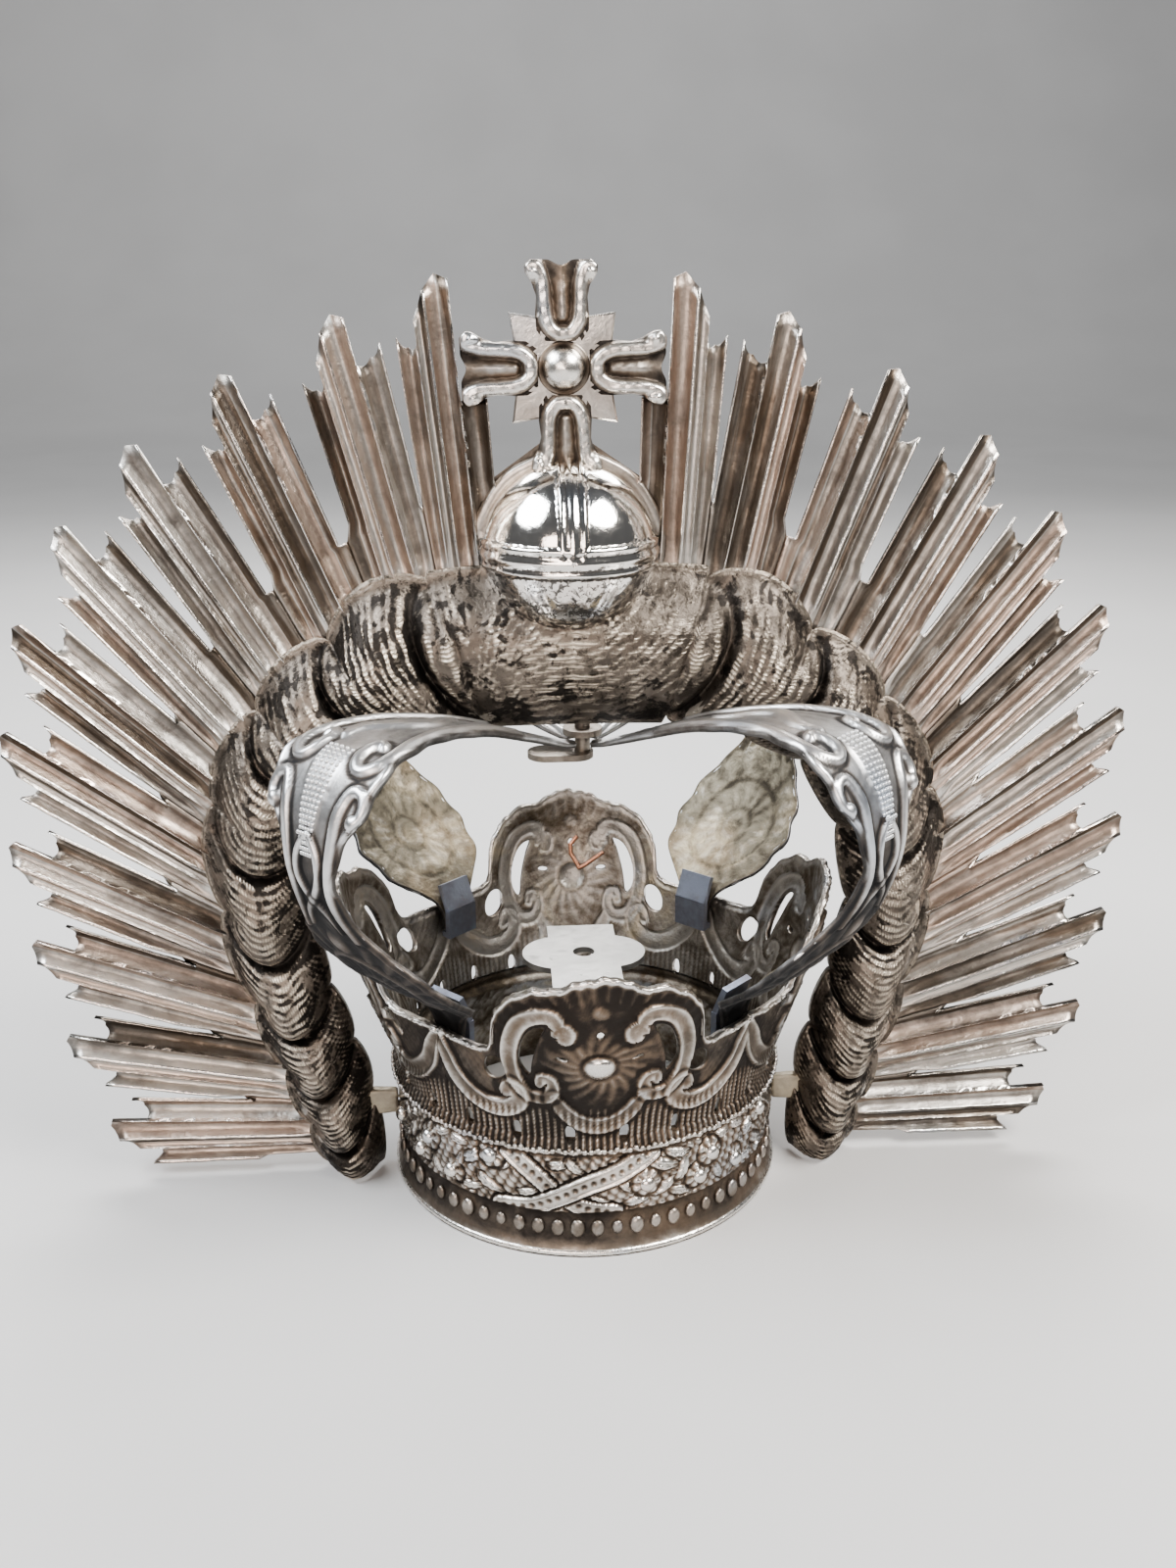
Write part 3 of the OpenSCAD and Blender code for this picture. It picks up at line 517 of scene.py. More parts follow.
def cloud_silver(name, silver):
    """Dark tarnished silver with granulated ridges, rubbed bright here and there."""
    s = Shade(name)
    lift = s.attribute("lift")
    along, across = s.plan(0), s.plan(1)
    broad, mottle = s.noise(38, 4, 0.6), s.noise(170, 6, 0.72, distortion=0.5)
    fine = s.noise(1100, 3, 0.6)
    wavy = across * 8.4 + (mottle - 0.5) * 9.0 + (along * 2.6).sine() * 0.8
    dash = (wavy.sine() * 0.5 + 0.5).ramp(0.1, 0.8)
    ridge = (lift + (mottle - 0.5) * 0.7 + (fine - 0.5) * 0.3).ramp(0.4, 0.85)
    rub = (ridge * (0.5 + dash * 0.5) * (0.35 + broad.ramp(0.3, 0.62) * 0.75)).clamp()
    base = s.mix(broad.ramp(0.4, 0.62), (0.075, 0.064, 0.054), (0.22, 0.188, 0.158))
    base = s.mix(mottle.ramp(0.45, 0.62) * 0.6, base, (0.34, 0.295, 0.25))
    col = s.mix(rub * 0.9, base, times(silver, 0.98, 0.9, 0.79))
    fleck = (s.noise(430, 4, 0.7, distortion=0.4) - lift * 0.12).ramp(0.49, 0.56)
    col = s.mix(fleck * 0.7, col, (0.03, 0.025, 0.02))
    black = (mottle * 0.9 + broad * 0.55 - lift * 0.3).ramp(0.6, 0.68)
    col = s.mix(black * 0.92, col, (0.012, 0.01, 0.009))
    bare = s.noise(60, 5, 0.65, distortion=0.7).ramp(0.64, 0.67)
    col = s.mix(bare * 0.7, col, (0.5, 0.46, 0.4))
    return s.done(Base_Color=col, Roughness=(0.42 - rub * 0.14 + (fine - 0.5) * 0.2 + black * 0.1).clamp(),
                  Metallic=(0.8 + rub * 0.2).clamp(),
                  Normal=s.bump(dash * ridge * 0.8 + mottle * 0.8 + fine * 0.35, 0.5, 0.0006))


MATERIALS = {}


def finish_of(kind):
    """The material of a kind of part, made when it is first asked for."""
    if kind in MATERIALS:
        return MATERIALS[kind]
    look = bpy.context.scene.crown_finish
    silver, oxide, soot = tuple(look.silver), tuple(look.oxide), tuple(look.soot)
    arch, strip, copper = tuple(look.arch), tuple(look.strip), tuple(look.copper)
    make, values, settings = {
        "circlet": (tarnished_silver, ("Circlet silver", silver, oxide, soot),
                    dict(wear=-0.03, soot=0.02, blush=0.4, rough=0.27, pit=0.17, grain=0.6)),
        "lining": (tarnished_silver, ("Inside of the sheet", times(silver, 0.62), (0.12, 0.1, 0.075), soot),
                   dict(wear=-0.1, soot=0.12, blush=0.1, rough=0.42, beige=0.25)),
        "arch": (tarnished_silver, ("Arch silver", arch, (0.105, 0.1, 0.096), (0.02, 0.021, 0.023)),
                 dict(wear=0.02, blush=0.16, rough=0.36, grain=0.42, pit=0.12)),
        "arch_inside": (tarnished_silver, ("Inside of the arches", times(silver, 0.75), (0.2, 0.18, 0.14),
                                           (0.05, 0.043, 0.032)),
                        dict(wear=-0.12, soot=0.05, blush=0.1, rough=0.36, beige=0.3)),
        "rays": (tarnished_silver, ("Ray silver", times(silver, 0.92), (0.19, 0.165, 0.14),
                                    (0.035, 0.029, 0.024)),
                 dict(wear=0.06, soot=-0.04, rough=0.24, streaks=0.75, grain=0.45, pit=0.3)),
        "orb": (tarnished_silver, ("Orb silver", times(silver, 1.12), (0.45, 0.4, 0.36), soot),
                dict(wear=0.16, soot=-0.24, blush=0.5, rough=0.1, pit=0.05, spots=0.85, grain=0.4)),
        "cross": (tarnished_silver, ("Cross silver", silver, (0.2, 0.175, 0.15), soot),
                  dict(rough=0.27, pit=0.15, grain=0.55)),
        "cloud": (cloud_silver, ("Cloud silver", silver), {}),
        "solder": (plain_metal, ("Beige solder", (0.5, 0.44, 0.34), (0.3, 0.27, 0.22), 0.5, 0.7), {}),
        "plate": (plain_metal, ("Pale plate", (0.42, 0.42, 0.41), (0.28, 0.28, 0.275), 0.34, 0.95, 60,
                                (0.13, 0.13, 0.12), 0.55, 0.08), {}),
        "clip": (plain_metal, ("Blue grey strip", strip, (0.25, 0.26, 0.31), 0.42, 0.9, 140), dict(bumpy=0.15)),
        "screw": (plain_metal, ("Dull screw", (0.32, 0.29, 0.25), (0.12, 0.1, 0.085), 0.42, 0.9, 160), {}),
        "copper": (plain_metal, ("Copper wire", copper, (0.6, 0.3, 0.2), 0.35, 1.0, 200), {}),
    }[kind]
    MATERIALS[kind] = make(*values, **settings)
    return MATERIALS[kind]


# Geometry Nodes
def add_node(g, kind, settings=None, values=None):
    n = g.nodes.new(kind)
    for key, val in (settings or {}).items():
        setattr(n, key, val)
    for key, val in (values or {}).items():
        if isinstance(val, bpy.types.NodeSocket):
            g.links.new(val, n.inputs[key])
        else:
            n.inputs[key].default_value = val
    return n


def start_tree(name, floats, rings=None):
    """A tree with named inputs, and the curve that it makes of the edge paths."""
    g = bpy.data.node_groups.new(name, "GeometryNodeTree")
    kinds = [("Geometry", "Geometry", None)] + [(label, "Float", value) for label, value in floats.items()]
    kinds += [("Rings", "Int", rings)] * (rings is not None) + [("Material", "Material", None)]
    for label, kind, value in kinds:
        socket = g.interface.new_socket(label, in_out="INPUT", socket_type="NodeSocket" + kind)
        if value is not None:
            socket.default_value = value
    g.interface.new_socket("Geometry", in_out="OUTPUT", socket_type="NodeSocketGeometry")
    given = g.nodes.new("NodeGroupInput").outputs
    return g, given, add_node(g, "GeometryNodeMeshToCurve", values={"Mesh": given["Geometry"]})


def end_tree(g, given, last):
    """Realize the instances, mark their lift and set their material."""
    real = add_node(g, "GeometryNodeRealizeInstances", values={"Geometry": last.outputs[0]})
    mark = add_node(g, "GeometryNodeStoreNamedAttribute", {"data_type": "FLOAT", "domain": "POINT"},
                    {"Geometry": real.outputs[0], "Name": "lift", "Value": given["Lift"]})
    paint = add_node(g, "GeometryNodeSetMaterial",
                     values={"Geometry": mark.outputs[0], "Material": given["Material"]})
    g.links.new(paint.outputs[0], g.nodes.new("NodeGroupOutput").inputs[0])
    return g


def bead_tree():
    """Beads set at an even spacing along every edge path."""
    g, given, line = start_tree("Beads along a path", {"Spacing": 0.001, "Radius": 0.0005, "Stretch": 1.0,
                                                       "Flatness": 0.6, "Lift": 0.8, "Smallest": 1.0}, 5)
    pts = add_node(g, "GeometryNodeCurveToPoints", {"mode": "LENGTH"},
                   {"Curve": line.outputs[0], "Length": given["Spacing"]})
    sides = add_node(g, "ShaderNodeMath", {"operation": "MULTIPLY"}, {0: given["Rings"], 1: 1.6})
    ball = add_node(g, "GeometryNodeMeshUVSphere", values={
        "Radius": given["Radius"], "Segments": sides.outputs[0], "Rings": given["Rings"]})
    face = add_node(g, "GeometryNodeInputNamedAttribute", {"data_type": "FLOAT_VECTOR"}, {"Name": "face"})
    out = add_node(g, "FunctionNodeAlignEulerToVector", {"axis": "Z"}, {"Vector": face.outputs[0]})
    turn = add_node(g, "FunctionNodeAlignEulerToVector", {"axis": "X", "pivot_axis": "Z"},
                    {"Rotation": out.outputs[0], "Vector": pts.outputs["Tangent"]})
    size = add_node(g, "ShaderNodeCombineXYZ", values={0: given["Stretch"], 1: 1.0, 2: given["Flatness"]})
    vary = add_node(g, "FunctionNodeRandomValue", {"data_type": "FLOAT"}, {2: given["Smallest"], 3: 1.0, 8: 4})
    sized = add_node(g, "ShaderNodeVectorMath", {"operation": "SCALE"},
                     {0: size.outputs[0], 3: vary.outputs[1]})
    return end_tree(g, given, add_node(g, "GeometryNodeInstanceOnPoints", values={
        "Points": pts.outputs["Points"], "Instance": ball.outputs["Mesh"],
        "Rotation": turn.outputs[0], "Scale": sized.outputs[0]}))


def wire_tree():
    """A round wire along every edge path, as thick as its points say."""
    g, given, line = start_tree("Wire along a path", {"Radius": 0.0005, "Lift": 0.8})
    thick = add_node(g, "GeometryNodeInputNamedAttribute", {"data_type": "FLOAT"}, {"Name": "thick"})
    ring = add_node(g, "GeometryNodeCurvePrimitiveCircle", {"mode": "RADIUS"},
                    {"Resolution": 6, "Radius": given["Radius"]})
    return end_tree(g, given, add_node(g, "GeometryNodeCurveToMesh", values={
        "Curve": line.outputs[0], "Profile Curve": ring.outputs[0], "Fill Caps": True,
        "Scale": thick.outputs[0]}))


TREES = {}


def grow(name, tree, paths, finish, nodes, facing=None, thick=None, **values):
    """Run a node tree on edge paths and keep the result as a plain piece."""
    verts, edges = [], []
    for path in paths:
        edges += [(len(verts) + i, len(verts) + i + 1) for i in range(len(path) - 1)]
        verts += [tuple(v) for v in path * MM]
    base = bpy.data.meshes.new(name)
    base.from_pydata(verts, edges, [])
    for label, kind, field, rows in (
            ("face", "FLOAT_VECTOR", "vector", facing), ("thick", "FLOAT", "value", thick)):
        if rows is not None:
            base.attributes.new(label, kind, "POINT").data.foreach_set(field, np.concatenate(rows).ravel())
    host = bpy.data.objects.new(name + "_path", base)
    bpy.context.scene.collection.objects.link(host)
    if tree not in TREES:
        TREES[tree] = tree()
    mod = host.modifiers.new("Build", "NODES")
    mod.node_group = TREES[tree]
    for item in TREES[tree].interface.items_tree:
        if item.in_out == "INPUT" and item.name in values:
            mod[item.identifier] = values[item.name]
        elif item.name == "Material":
            mod[item.identifier] = finish_of(finish)
    host.update_tag()
    me = bpy.data.meshes.new_from_object(host.evaluated_get(bpy.context.evaluated_depsgraph_get()))
    host.modifiers.remove(mod)
    bpy.data.objects.remove(host)
    if not me.polygons:
        raise RuntimeError(name + " came out empty")
    me.name = name
    me.polygons.foreach_set("use_smooth", np.ones(len(me.polygons), bool))
    return add_piece(name, me, finish, nodes)


def beads(name, paths, facing, spacing, radius, finish, nodes, stretch=1.0, flat=0.8, lift=0.8,
          smallest=1.0, rings=5):
    return grow(name, bead_tree, paths, finish, nodes, facing=facing, Spacing=spacing * MM, Radius=radius * MM,
                Stretch=stretch, Flatness=flat, Lift=lift, Smallest=smallest, Rings=rings)


def wires(name, paths, thick, radius, finish, nodes, lift):
    return grow(name, wire_tree, paths, finish, nodes, thick=thick, Radius=radius, Lift=lift)


# Circlet
def band_relief(az, z):
    """Embossed leaves, blossoms, ribbons and scales of the floral band, in mm."""
    a = (az + 45 + 360) % 90 - 45
    x = rad(a) * BAND_R
    field = scales(x * 0.96 + z * 0.3, z * 0.96 - 0.12 * x * np.sign(a), 2.0, 1.35) ** 2
    h = 0.66 * np.clip(1.45 * field - 0.45, 0, 1) - 0.07
    for cx, cz, turn, long in LEAVES:
        dx, dz = x - rad(cx) * BAND_R, z - cz
        c, q = math.cos(rad(turn)), math.sin(rad(turn))
        u, v = (dx * c + dz * q) / long, (-dx * q + dz * c) / (0.36 * long)
        v = v - 0.35 * u * u
        body = 1 - u * u - (v / (1 - 0.3 * u)) ** 2
        leaf = (0.95 * np.sqrt(np.clip(body, 0, 1)) - 0.42 * bell(v, 0, 0.16)
                + 0.1 * np.cos(13 * u + 5 * np.abs(v)))
        h = np.where(body > 0, np.maximum(leaf, h * 0.3), np.where(body > -0.35, np.minimum(h, -0.05), h))
    for cx, cz in BLOSSOMS:
        dx, dz = x - rad(cx) * BAND_R, z - cz
        r, petal = np.hypot(dx, dz), np.cos(7 * np.arctan2(dz, dx))
        flower = (0.45 + 0.25 * petal) * step(3.1, 2.4, r)
        h = np.where(r < 2.9 + 0.3 * petal, flower, np.where(r < 3.4, np.minimum(h, -0.05), h))
    for rows, half, dots in ((RIBBON_A, 1.7, 1.85), (RIBBON_B, 1.95, 1.9)):
        path = curve_points(rows, 36, BAND_R)
        d, s = line_distance(x, z, path)
        run = s * np.hypot(*np.diff(path, axis=0).T).sum()
        hole = np.exp(-((d / 0.55) ** 2 + (((run / dots) % 1 - 0.5) * dots / 0.55) ** 2) ** 1.5)
        edge = bell(d, half * 0.84, 0.22) - 0.5 * bell(d, half * 0.58, 0.16)
        h = np.where(d < half, 0.62 + 0.3 * edge - 0.5 * hole, np.where(d < half + 0.55, -0.2, h))
    return h * window(z, 8.3, 9.0, 20.0, 20.7)


def build_band(sizes):
    """Base rim, gadroon seat, floral band and ruffled ledge, then the inside of the wall."""
    z = np.concatenate([np.linspace(0, 1.0, 6), np.linspace(1.2, 8.2, 9), np.linspace(8.5, 20.6, 58),
                        np.linspace(20.8, LEDGE_Z, 7), np.linspace(22.6, 24.4, 5)])
    A, Z = np.meshgrid(np.linspace(0, 360, 720, endpoint=False), z)
    x = rad(A) * BAND_R
    relief = band_relief(A, Z)
    ruffle = window(Z, 20.8, 21.6, 22.6, 23)
    rough = 0.16 * pits(x, Z * 2.1, x * 0.4, 3.1, 0.4) + 0.1 * pits(x, Z * 3, x, 1.3, 1.2)
    R = (np.interp(Z, *BAND.T) + relief * 0.95 * sizes.emboss - 0.15
         + ruffle * (0.22 * np.sin(A * 0.55 * math.pi) + rough * 2) + 0.05 * pits(x, Z, x * 0.5, 2.6, 0.9))
    front = polar(R, A, Z + ruffle * (0.35 * pits(x, x * 0.7, x * 0.3, 7.0, 2.0)))
    lift = np.clip(0.14 + relief * 0.78 + ruffle * (0.55 + rough), 0, 1)
    lift = np.where(Z < 1.15, 0.95, lift)
    lift = np.where((Z > 1.15) & (Z < 8.2), 0.2 + 0.2 * step(3, 1.2, Z) - 0.1 * step(6.5, 8, Z), lift)
    me = make_mesh("circlet_band", front, grid_quads(*A.shape, True), lift, np.stack([x, Z], -1))
    add_piece("circlet_band", me, "circlet", ("circlet",))
    # the inside shows the relief faintly, from behind
    z = np.concatenate([[0, 0.25], np.linspace(0.8, 24.4, 34)])
    A, Z = np.meshgrid(np.linspace(0, 360, 300, endpoint=False), z)
    relief = band_relief(A, Z)
    R = np.where(Z < 0.1, BAND[0, 1], np.interp(Z, *BAND.T) - 1.0 + 0.5 * relief)
    me = make_mesh("circlet_inner_band", polar(R, A, Z), grid_quads(*A.shape, True)[:, ::-1],
                   0.45 + 0.3 * relief)
    add_piece("circlet_inner_band", me, "lining", ("circlet",))


def gallery_relief(a, z, edge):
    """Embossed cartouche: scrolls, shell, boss, swag and drapery; its holes, and its lift."""
    m = np.abs(a)
    x, xm = rad(a) * GALLERY_R, rad(m) * GALLERY_R
    below = edge - z
    # drapery of dotted flutes, and scales behind the scrolls
    cloth = window(z, 22.4, 22.9, 30.5, 33)
    flute = np.cos(2 * math.pi * x / FLUTE)
    dots = 0.5 + 0.5 * np.cos(2 * math.pi * z / 0.95 + math.pi * (np.round(x / FLUTE) % 2))
    h = cloth * (0.3 + 0.32 * flute * (0.35 + 0.65 * dots))
    h += step(26, 30, m) * window(z, 32, 34, 42, 43.5) * 0.3 * scales(x, z, 1.7, 1.15)
    # shell lines that turn round the boss, and short ribs under the rolled edge
    r, t = np.hypot(x, z - 43.2), np.arctan2(z - 43.2, x)
    h += window(r, 3.2, 3.8, 9.4, 10.8) * (0.32 * (1 - step(4, 10, r)) + 0.17 * np.cos(17 * t + 1.1 * r))
    h += window(r, 10.5, 11.5, 14, 16) * (m < 15) * (z > 49) * 0.15 * np.cos(14 * t)
    h += window(below, 0.9, 1.6, 4.2, 5.6) * step(45, 47, z) * 0.26 * np.cos(46 * np.arctan2(z - 44, x))
    # painted shade: a dark line along the foot of each scroll and of the swag, taken off the lift
    shade = np.zeros(x.shape)
    for xx, rows, n, half, height, taper, floor in (
            (xm, C_SCROLL, 70, 1.75, 1.1, 0.5, 0.5), (xm, S_SCROLL, 50, 2.3, 1.15, 0.35, 0.45),
            (x, SWAG, 40, 2.1, 0.95, 0.45, 0.5)):
        path = curve_points(rows, n, GALLERY_R)
        shade = np.maximum(shade, bell(line_distance(xx, z, path)[0] - half, 0.3, 0.45))
        h = np.maximum(h, channel(xx, z, path, half, height, taper, floor))
    h = np.maximum(h, 0.3 * bell(r, 3.9, 0.5) + dome(x, z, 0, 43.2, 2.7, 1.9))
    h = np.maximum(h, dome(xm, z, 8.2, 40, 1.2, 0.5) * (m > 3))
    h = np.maximum(h, dome(x, z, 0, 55.6, 1.5, 0.6))
    roll = bell(below, 0.55, 0.75)
    h = np.maximum(h, roll * (0.75 + 0.25 * pits(x, z, x, 2.2, 0.7)))
    # piercings: distance to the nearest hole, negative inside
    d, s = line_distance(xm, z, curve_points(SLOT_PATH, 24, GALLERY_R))
    crescent = d - 1.35 * np.sqrt(np.clip(1 - np.abs(2 * s - 1) ** 2.2, 0.02, 1))
    pitch = 360 / OVALS
    ox = rad(((a / pitch) % 1 - 0.5) * pitch) * 39

    def hole(across, up, half, tall, scale):
        return (np.hypot(across / half, up / tall) - 1) * scale

    field = np.minimum.reduce([
        crescent, hole(ox, z - OVAL_Z, 1.02, 2.1, 1.02),
        hole(xm - rad(26.3) * GALLERY_R + 0.25 * (z - 40), z - 40, 2.5, 2.9, 2.3),
        hole(xm - 6.3, z - 45 - 0.2 * (xm - 6), 1.15, 0.62, 0.62), hole(x, z - 50.6, 0.62, 0.95, 0.62)])
    h = np.where(field < 1.0, np.maximum(h, 0.22 * bell(field, 0.35, 0.4)), h)
    # lift: brighter with the relief, on the rolled edge and on the flute crests, darker in the painted shade
    shine = (0.06 + 0.5 * h - 0.3 * shade * (1 - roll) + 0.35 * roll
             + cloth * (0.24 * flute * (0.3 + 0.7 * dots) - 0.02))
    return h, field, np.clip(shine, 0, 1)


def gallery_edge_z(az):
    """Height of the gallery's hammered top edge."""
    top = GALLERY_Z + (PEAK_Z - GALLERY_Z) * np.interp(from_middle(az), *EDGE.T)
    return top + 0.35 * pits(az * 0.8, az * 0.3, az * 0.2, 4.6, 0.2) * step(46, 48, top)


def gallery_wobble(az, z, quarter):
    return 0.25 * pits(az * 0.73 + 31 * quarter, z, az, 17.0, quarter)


def build_gallery(sizes):
    """The pierced gallery and its four cartouches, one for each quarter."""
    A, V = np.meshgrid(np.linspace(-45, 45, 185), np.linspace(0, 1, 98))
    edge = gallery_edge_z(A)
    low = 22.7 + 0.28 * np.cos(rad(4 * 17 * A)) + 0.12 * pits(A, A, A, 1.7, 1)
    Z = low + (edge - low) * V
    h, field, shine = gallery_relief(A, Z, edge)
    R = np.where(Z < 24.6, np.interp(Z, [22.2, 23, 24.6], [39.9, 39.2, 38.7]), wall_r(A, Z))
    pit = 0.05 * pits(A * 0.73, Z, A, 2.3, 0.3)
    for k, name in enumerate(("front", "right", "rear", "left")):
        bend = gallery_wobble(A, Z, k) * V * V
        front = polar(R - 0.25 + h * 0.95 * sizes.emboss + pit + bend, A + 90 * k, Z)
        back = polar(R - 1.25 + h * 0.45 + bend, A + 90 * k, Z)
        marks = np.stack([shine, np.clip(0.5 + 0.35 * h, 0, 1), rad(A) * GALLERY_R, Z], -1)
        points, values, faces = clip_grid(
            front.reshape(-1, 3), np.concatenate([back, marks], -1).reshape(-1, 7), field.ravel(),
            grid_quads(*A.shape))
        me = sheet_mesh("gallery_" + name, points, values[:, :3], faces, values[:, 3], values[:, 4],
                        values[:, 5:])
        paint_inside(add_piece("gallery_" + name, me, "circlet", ("circlet",)), finish_of("lining"))


def paint_inside(obj, mat):
    """Give faces that look towards the crown's axis the inner finish."""
    me = obj.data
    me.materials.append(mat)
    normal, centre = np.zeros(len(me.polygons) * 3), np.zeros(len(me.polygons) * 3)
    me.polygons.foreach_get("normal", normal)
    me.polygons.foreach_get("center", centre)
    normal, centre = normal.reshape(-1, 3)[:, :2], centre.reshape(-1, 3)[:, :2]
    out = (normal * centre).sum(1) / np.maximum(np.hypot(*centre.T), 1e-6)
    me.polygons.foreach_set("material_index", (out < -0.25).astype(int))


def build_gallery_edge(sizes):
    """Hammered wire along the gallery's top edge."""
    paths, thick = [], []
    for q in range(4):
        az = np.linspace(-45, 45, 220)
        z = gallery_edge_z(az) - 0.3
        paths.append(polar(wall_r(az, z) - 0.3 + gallery_wobble(az, z, q), az + 90 * q, z))
        thick.append(np.clip(1 + 0.5 * pits(az * 0.73, z, az * 0.4 + q, 2.9, 1.3), 0.55, 1.4))
    wires("gallery_edge", paths, thick, sizes.edge_wire, "circlet", ("circlet",), 0.5)


def build_circlet_trim(sizes):
    """Gadroons, beaded hem and the middles of the blossoms."""
    def post(r, az, z, turn, rise):
        az, z = np.array([az, az + turn]), np.array([z, z + rise])
        return polar(np.full(2, r), az, z), polar(np.ones(2), az, np.zeros(2))

    n = sizes.gadroons
    beads("gadroons", *zip(*[post(BAND_R, 360 * k / n, 5.4, 0, 0.1) for k in range(n)]), 0.4, 1.5,
          "circlet", ("circlet",), 1.35, 0.6, 0.42, 0.68, 8)
    hem = np.linspace(0, 360, 721)
    row = polar(np.full(hem.shape, 39.75), hem, 22.75 + 0.25 * np.cos(rad(hem * 4 * 17)))
    beads("hem_beads", [row], [polar(np.ones(hem.shape), hem, 0 * hem)], sizes.bead_spacing / MM, 0.52,
          "circlet", ("circlet",), lift=0.55)
    middles = [post(39.0, a + 90 * q, z, 0.02, 0.02) for q in range(4) for a, z in BLOSSOMS]
    beads("blossom_balls", *zip(*middles), 1.0, 1.6, "circlet", ("circlet",), flat=0.75, lift=0.75, rings=9)


# Arches
def arch_relief(u, s, half):
    """Embossed strip: u across from -1 to 1, s along in mm from the foot."""
    m = np.abs(u)
    x, xm = u * half, m * half
    # oval medallion with a fluted ring, an eye and two bosses
    q = np.hypot(x / 9.0, (s - OVAL_AT) / 11.5)
    t = np.arctan2(s - OVAL_AT, x)
    h = 0.05 * pits(x, s, x, 3.4, 1.4)
    h += step(1.02, 0.96, q) * step(0.42, 0.5, q) * (0.3 + 0.24 * np.cos(18 * t + 2.2 * q))
    h = np.maximum(h, 0.95 * bell(q, 1.02, 0.085))
    h = np.maximum(h, 0.8 * bell(q, 0.4, 0.08))
    h = np.maximum(h, 0.9 * np.exp(-(q / 0.2) ** 4))
    h = np.where((q > 1.12) & (s < 46), np.maximum(h, 0.32 + 0.28 * np.cos(21 * t)), h)
    h = np.maximum(h, dome(x, s, 0, 39.5, 2.6, 1.1, 1.3) * (s < 46))
    h = np.maximum(h, dome(x, s, 0, 9.6, 1.6, 0.7, 1.3))
    # rib that widens upwards under its rows of beads
    rib = window(s, 57, 59, 76, 79)
    spread = 1.4 + 2.3 * step(57, 77, s)
    h = np.where(xm < spread, np.maximum(h, rib * 0.35), h)
    h = np.where((np.abs(xm - spread - 0.5) < 0.45) & (rib > 0.5), -0.25, h)
    h = np.where(s > 76, h + 0.1 * np.cos(2.6 * xm + 0.35 * s) * window(s, 80, 86, 98, 103), h)
    # painted shade: a dark line in the groove round each hook and scroll, and beside each strand of the knot
    shade = np.zeros(x.shape)
    for rows, width, height in ((HOOK, 1.15, 1.35), (WAIST_SCROLL, 1.05, 1.15)):
        path = curve_points(rows, 60)
        near = line_distance(xm, s, path)[0]
        shade = np.maximum(shade, bell(near - width, 0.35, 0.45))
        h = np.where((near > width) & (near < width + 0.8), h - 0.3, h)
        h = np.maximum(h, moulding(xm, s, path, width, height, 0.3, 0.15))
    h = np.maximum(h, moulding(x, s, curve_points(CREST_LEAF, 40), 1.9, 1.1, 0.55, 0.28))
    h = np.maximum(h, dome(xm, s, 10.1, 65.2, 1.6, 1.5))
    # knot of two strands that cross and meet in a point
    for strand in (x, -x):
        path = curve_points(KNOT, 40)
        shade = np.maximum(shade, 0.8 * bell(line_distance(strand, s, path)[0], 1.0, 0.35))
        h = np.maximum(h, moulding(strand, s, path, 0.85, 1.1, 0.3, 0.1))
    # long ridges towards the tip, and the rolled edges
    h = np.maximum(h, step(103, 108, s) * (0.25 + 0.3 * np.cos(x * 1.9)))
    roll = bell(half * (1 - m), 0.6, 0.75) * step(1.5, 4, half)
    return np.maximum(h, roll * (0.72 + 0.12 * pits(x, s, x, 2.6, 0.4))), shade


def turned(points, degrees):
    """Points turned about the crown's axis."""
    c, q = math.cos(rad(degrees)), math.sin(rad(degrees))
    return points @ np.array([[c, q, 0], [-q, c, 0], [0, 0, 1]])


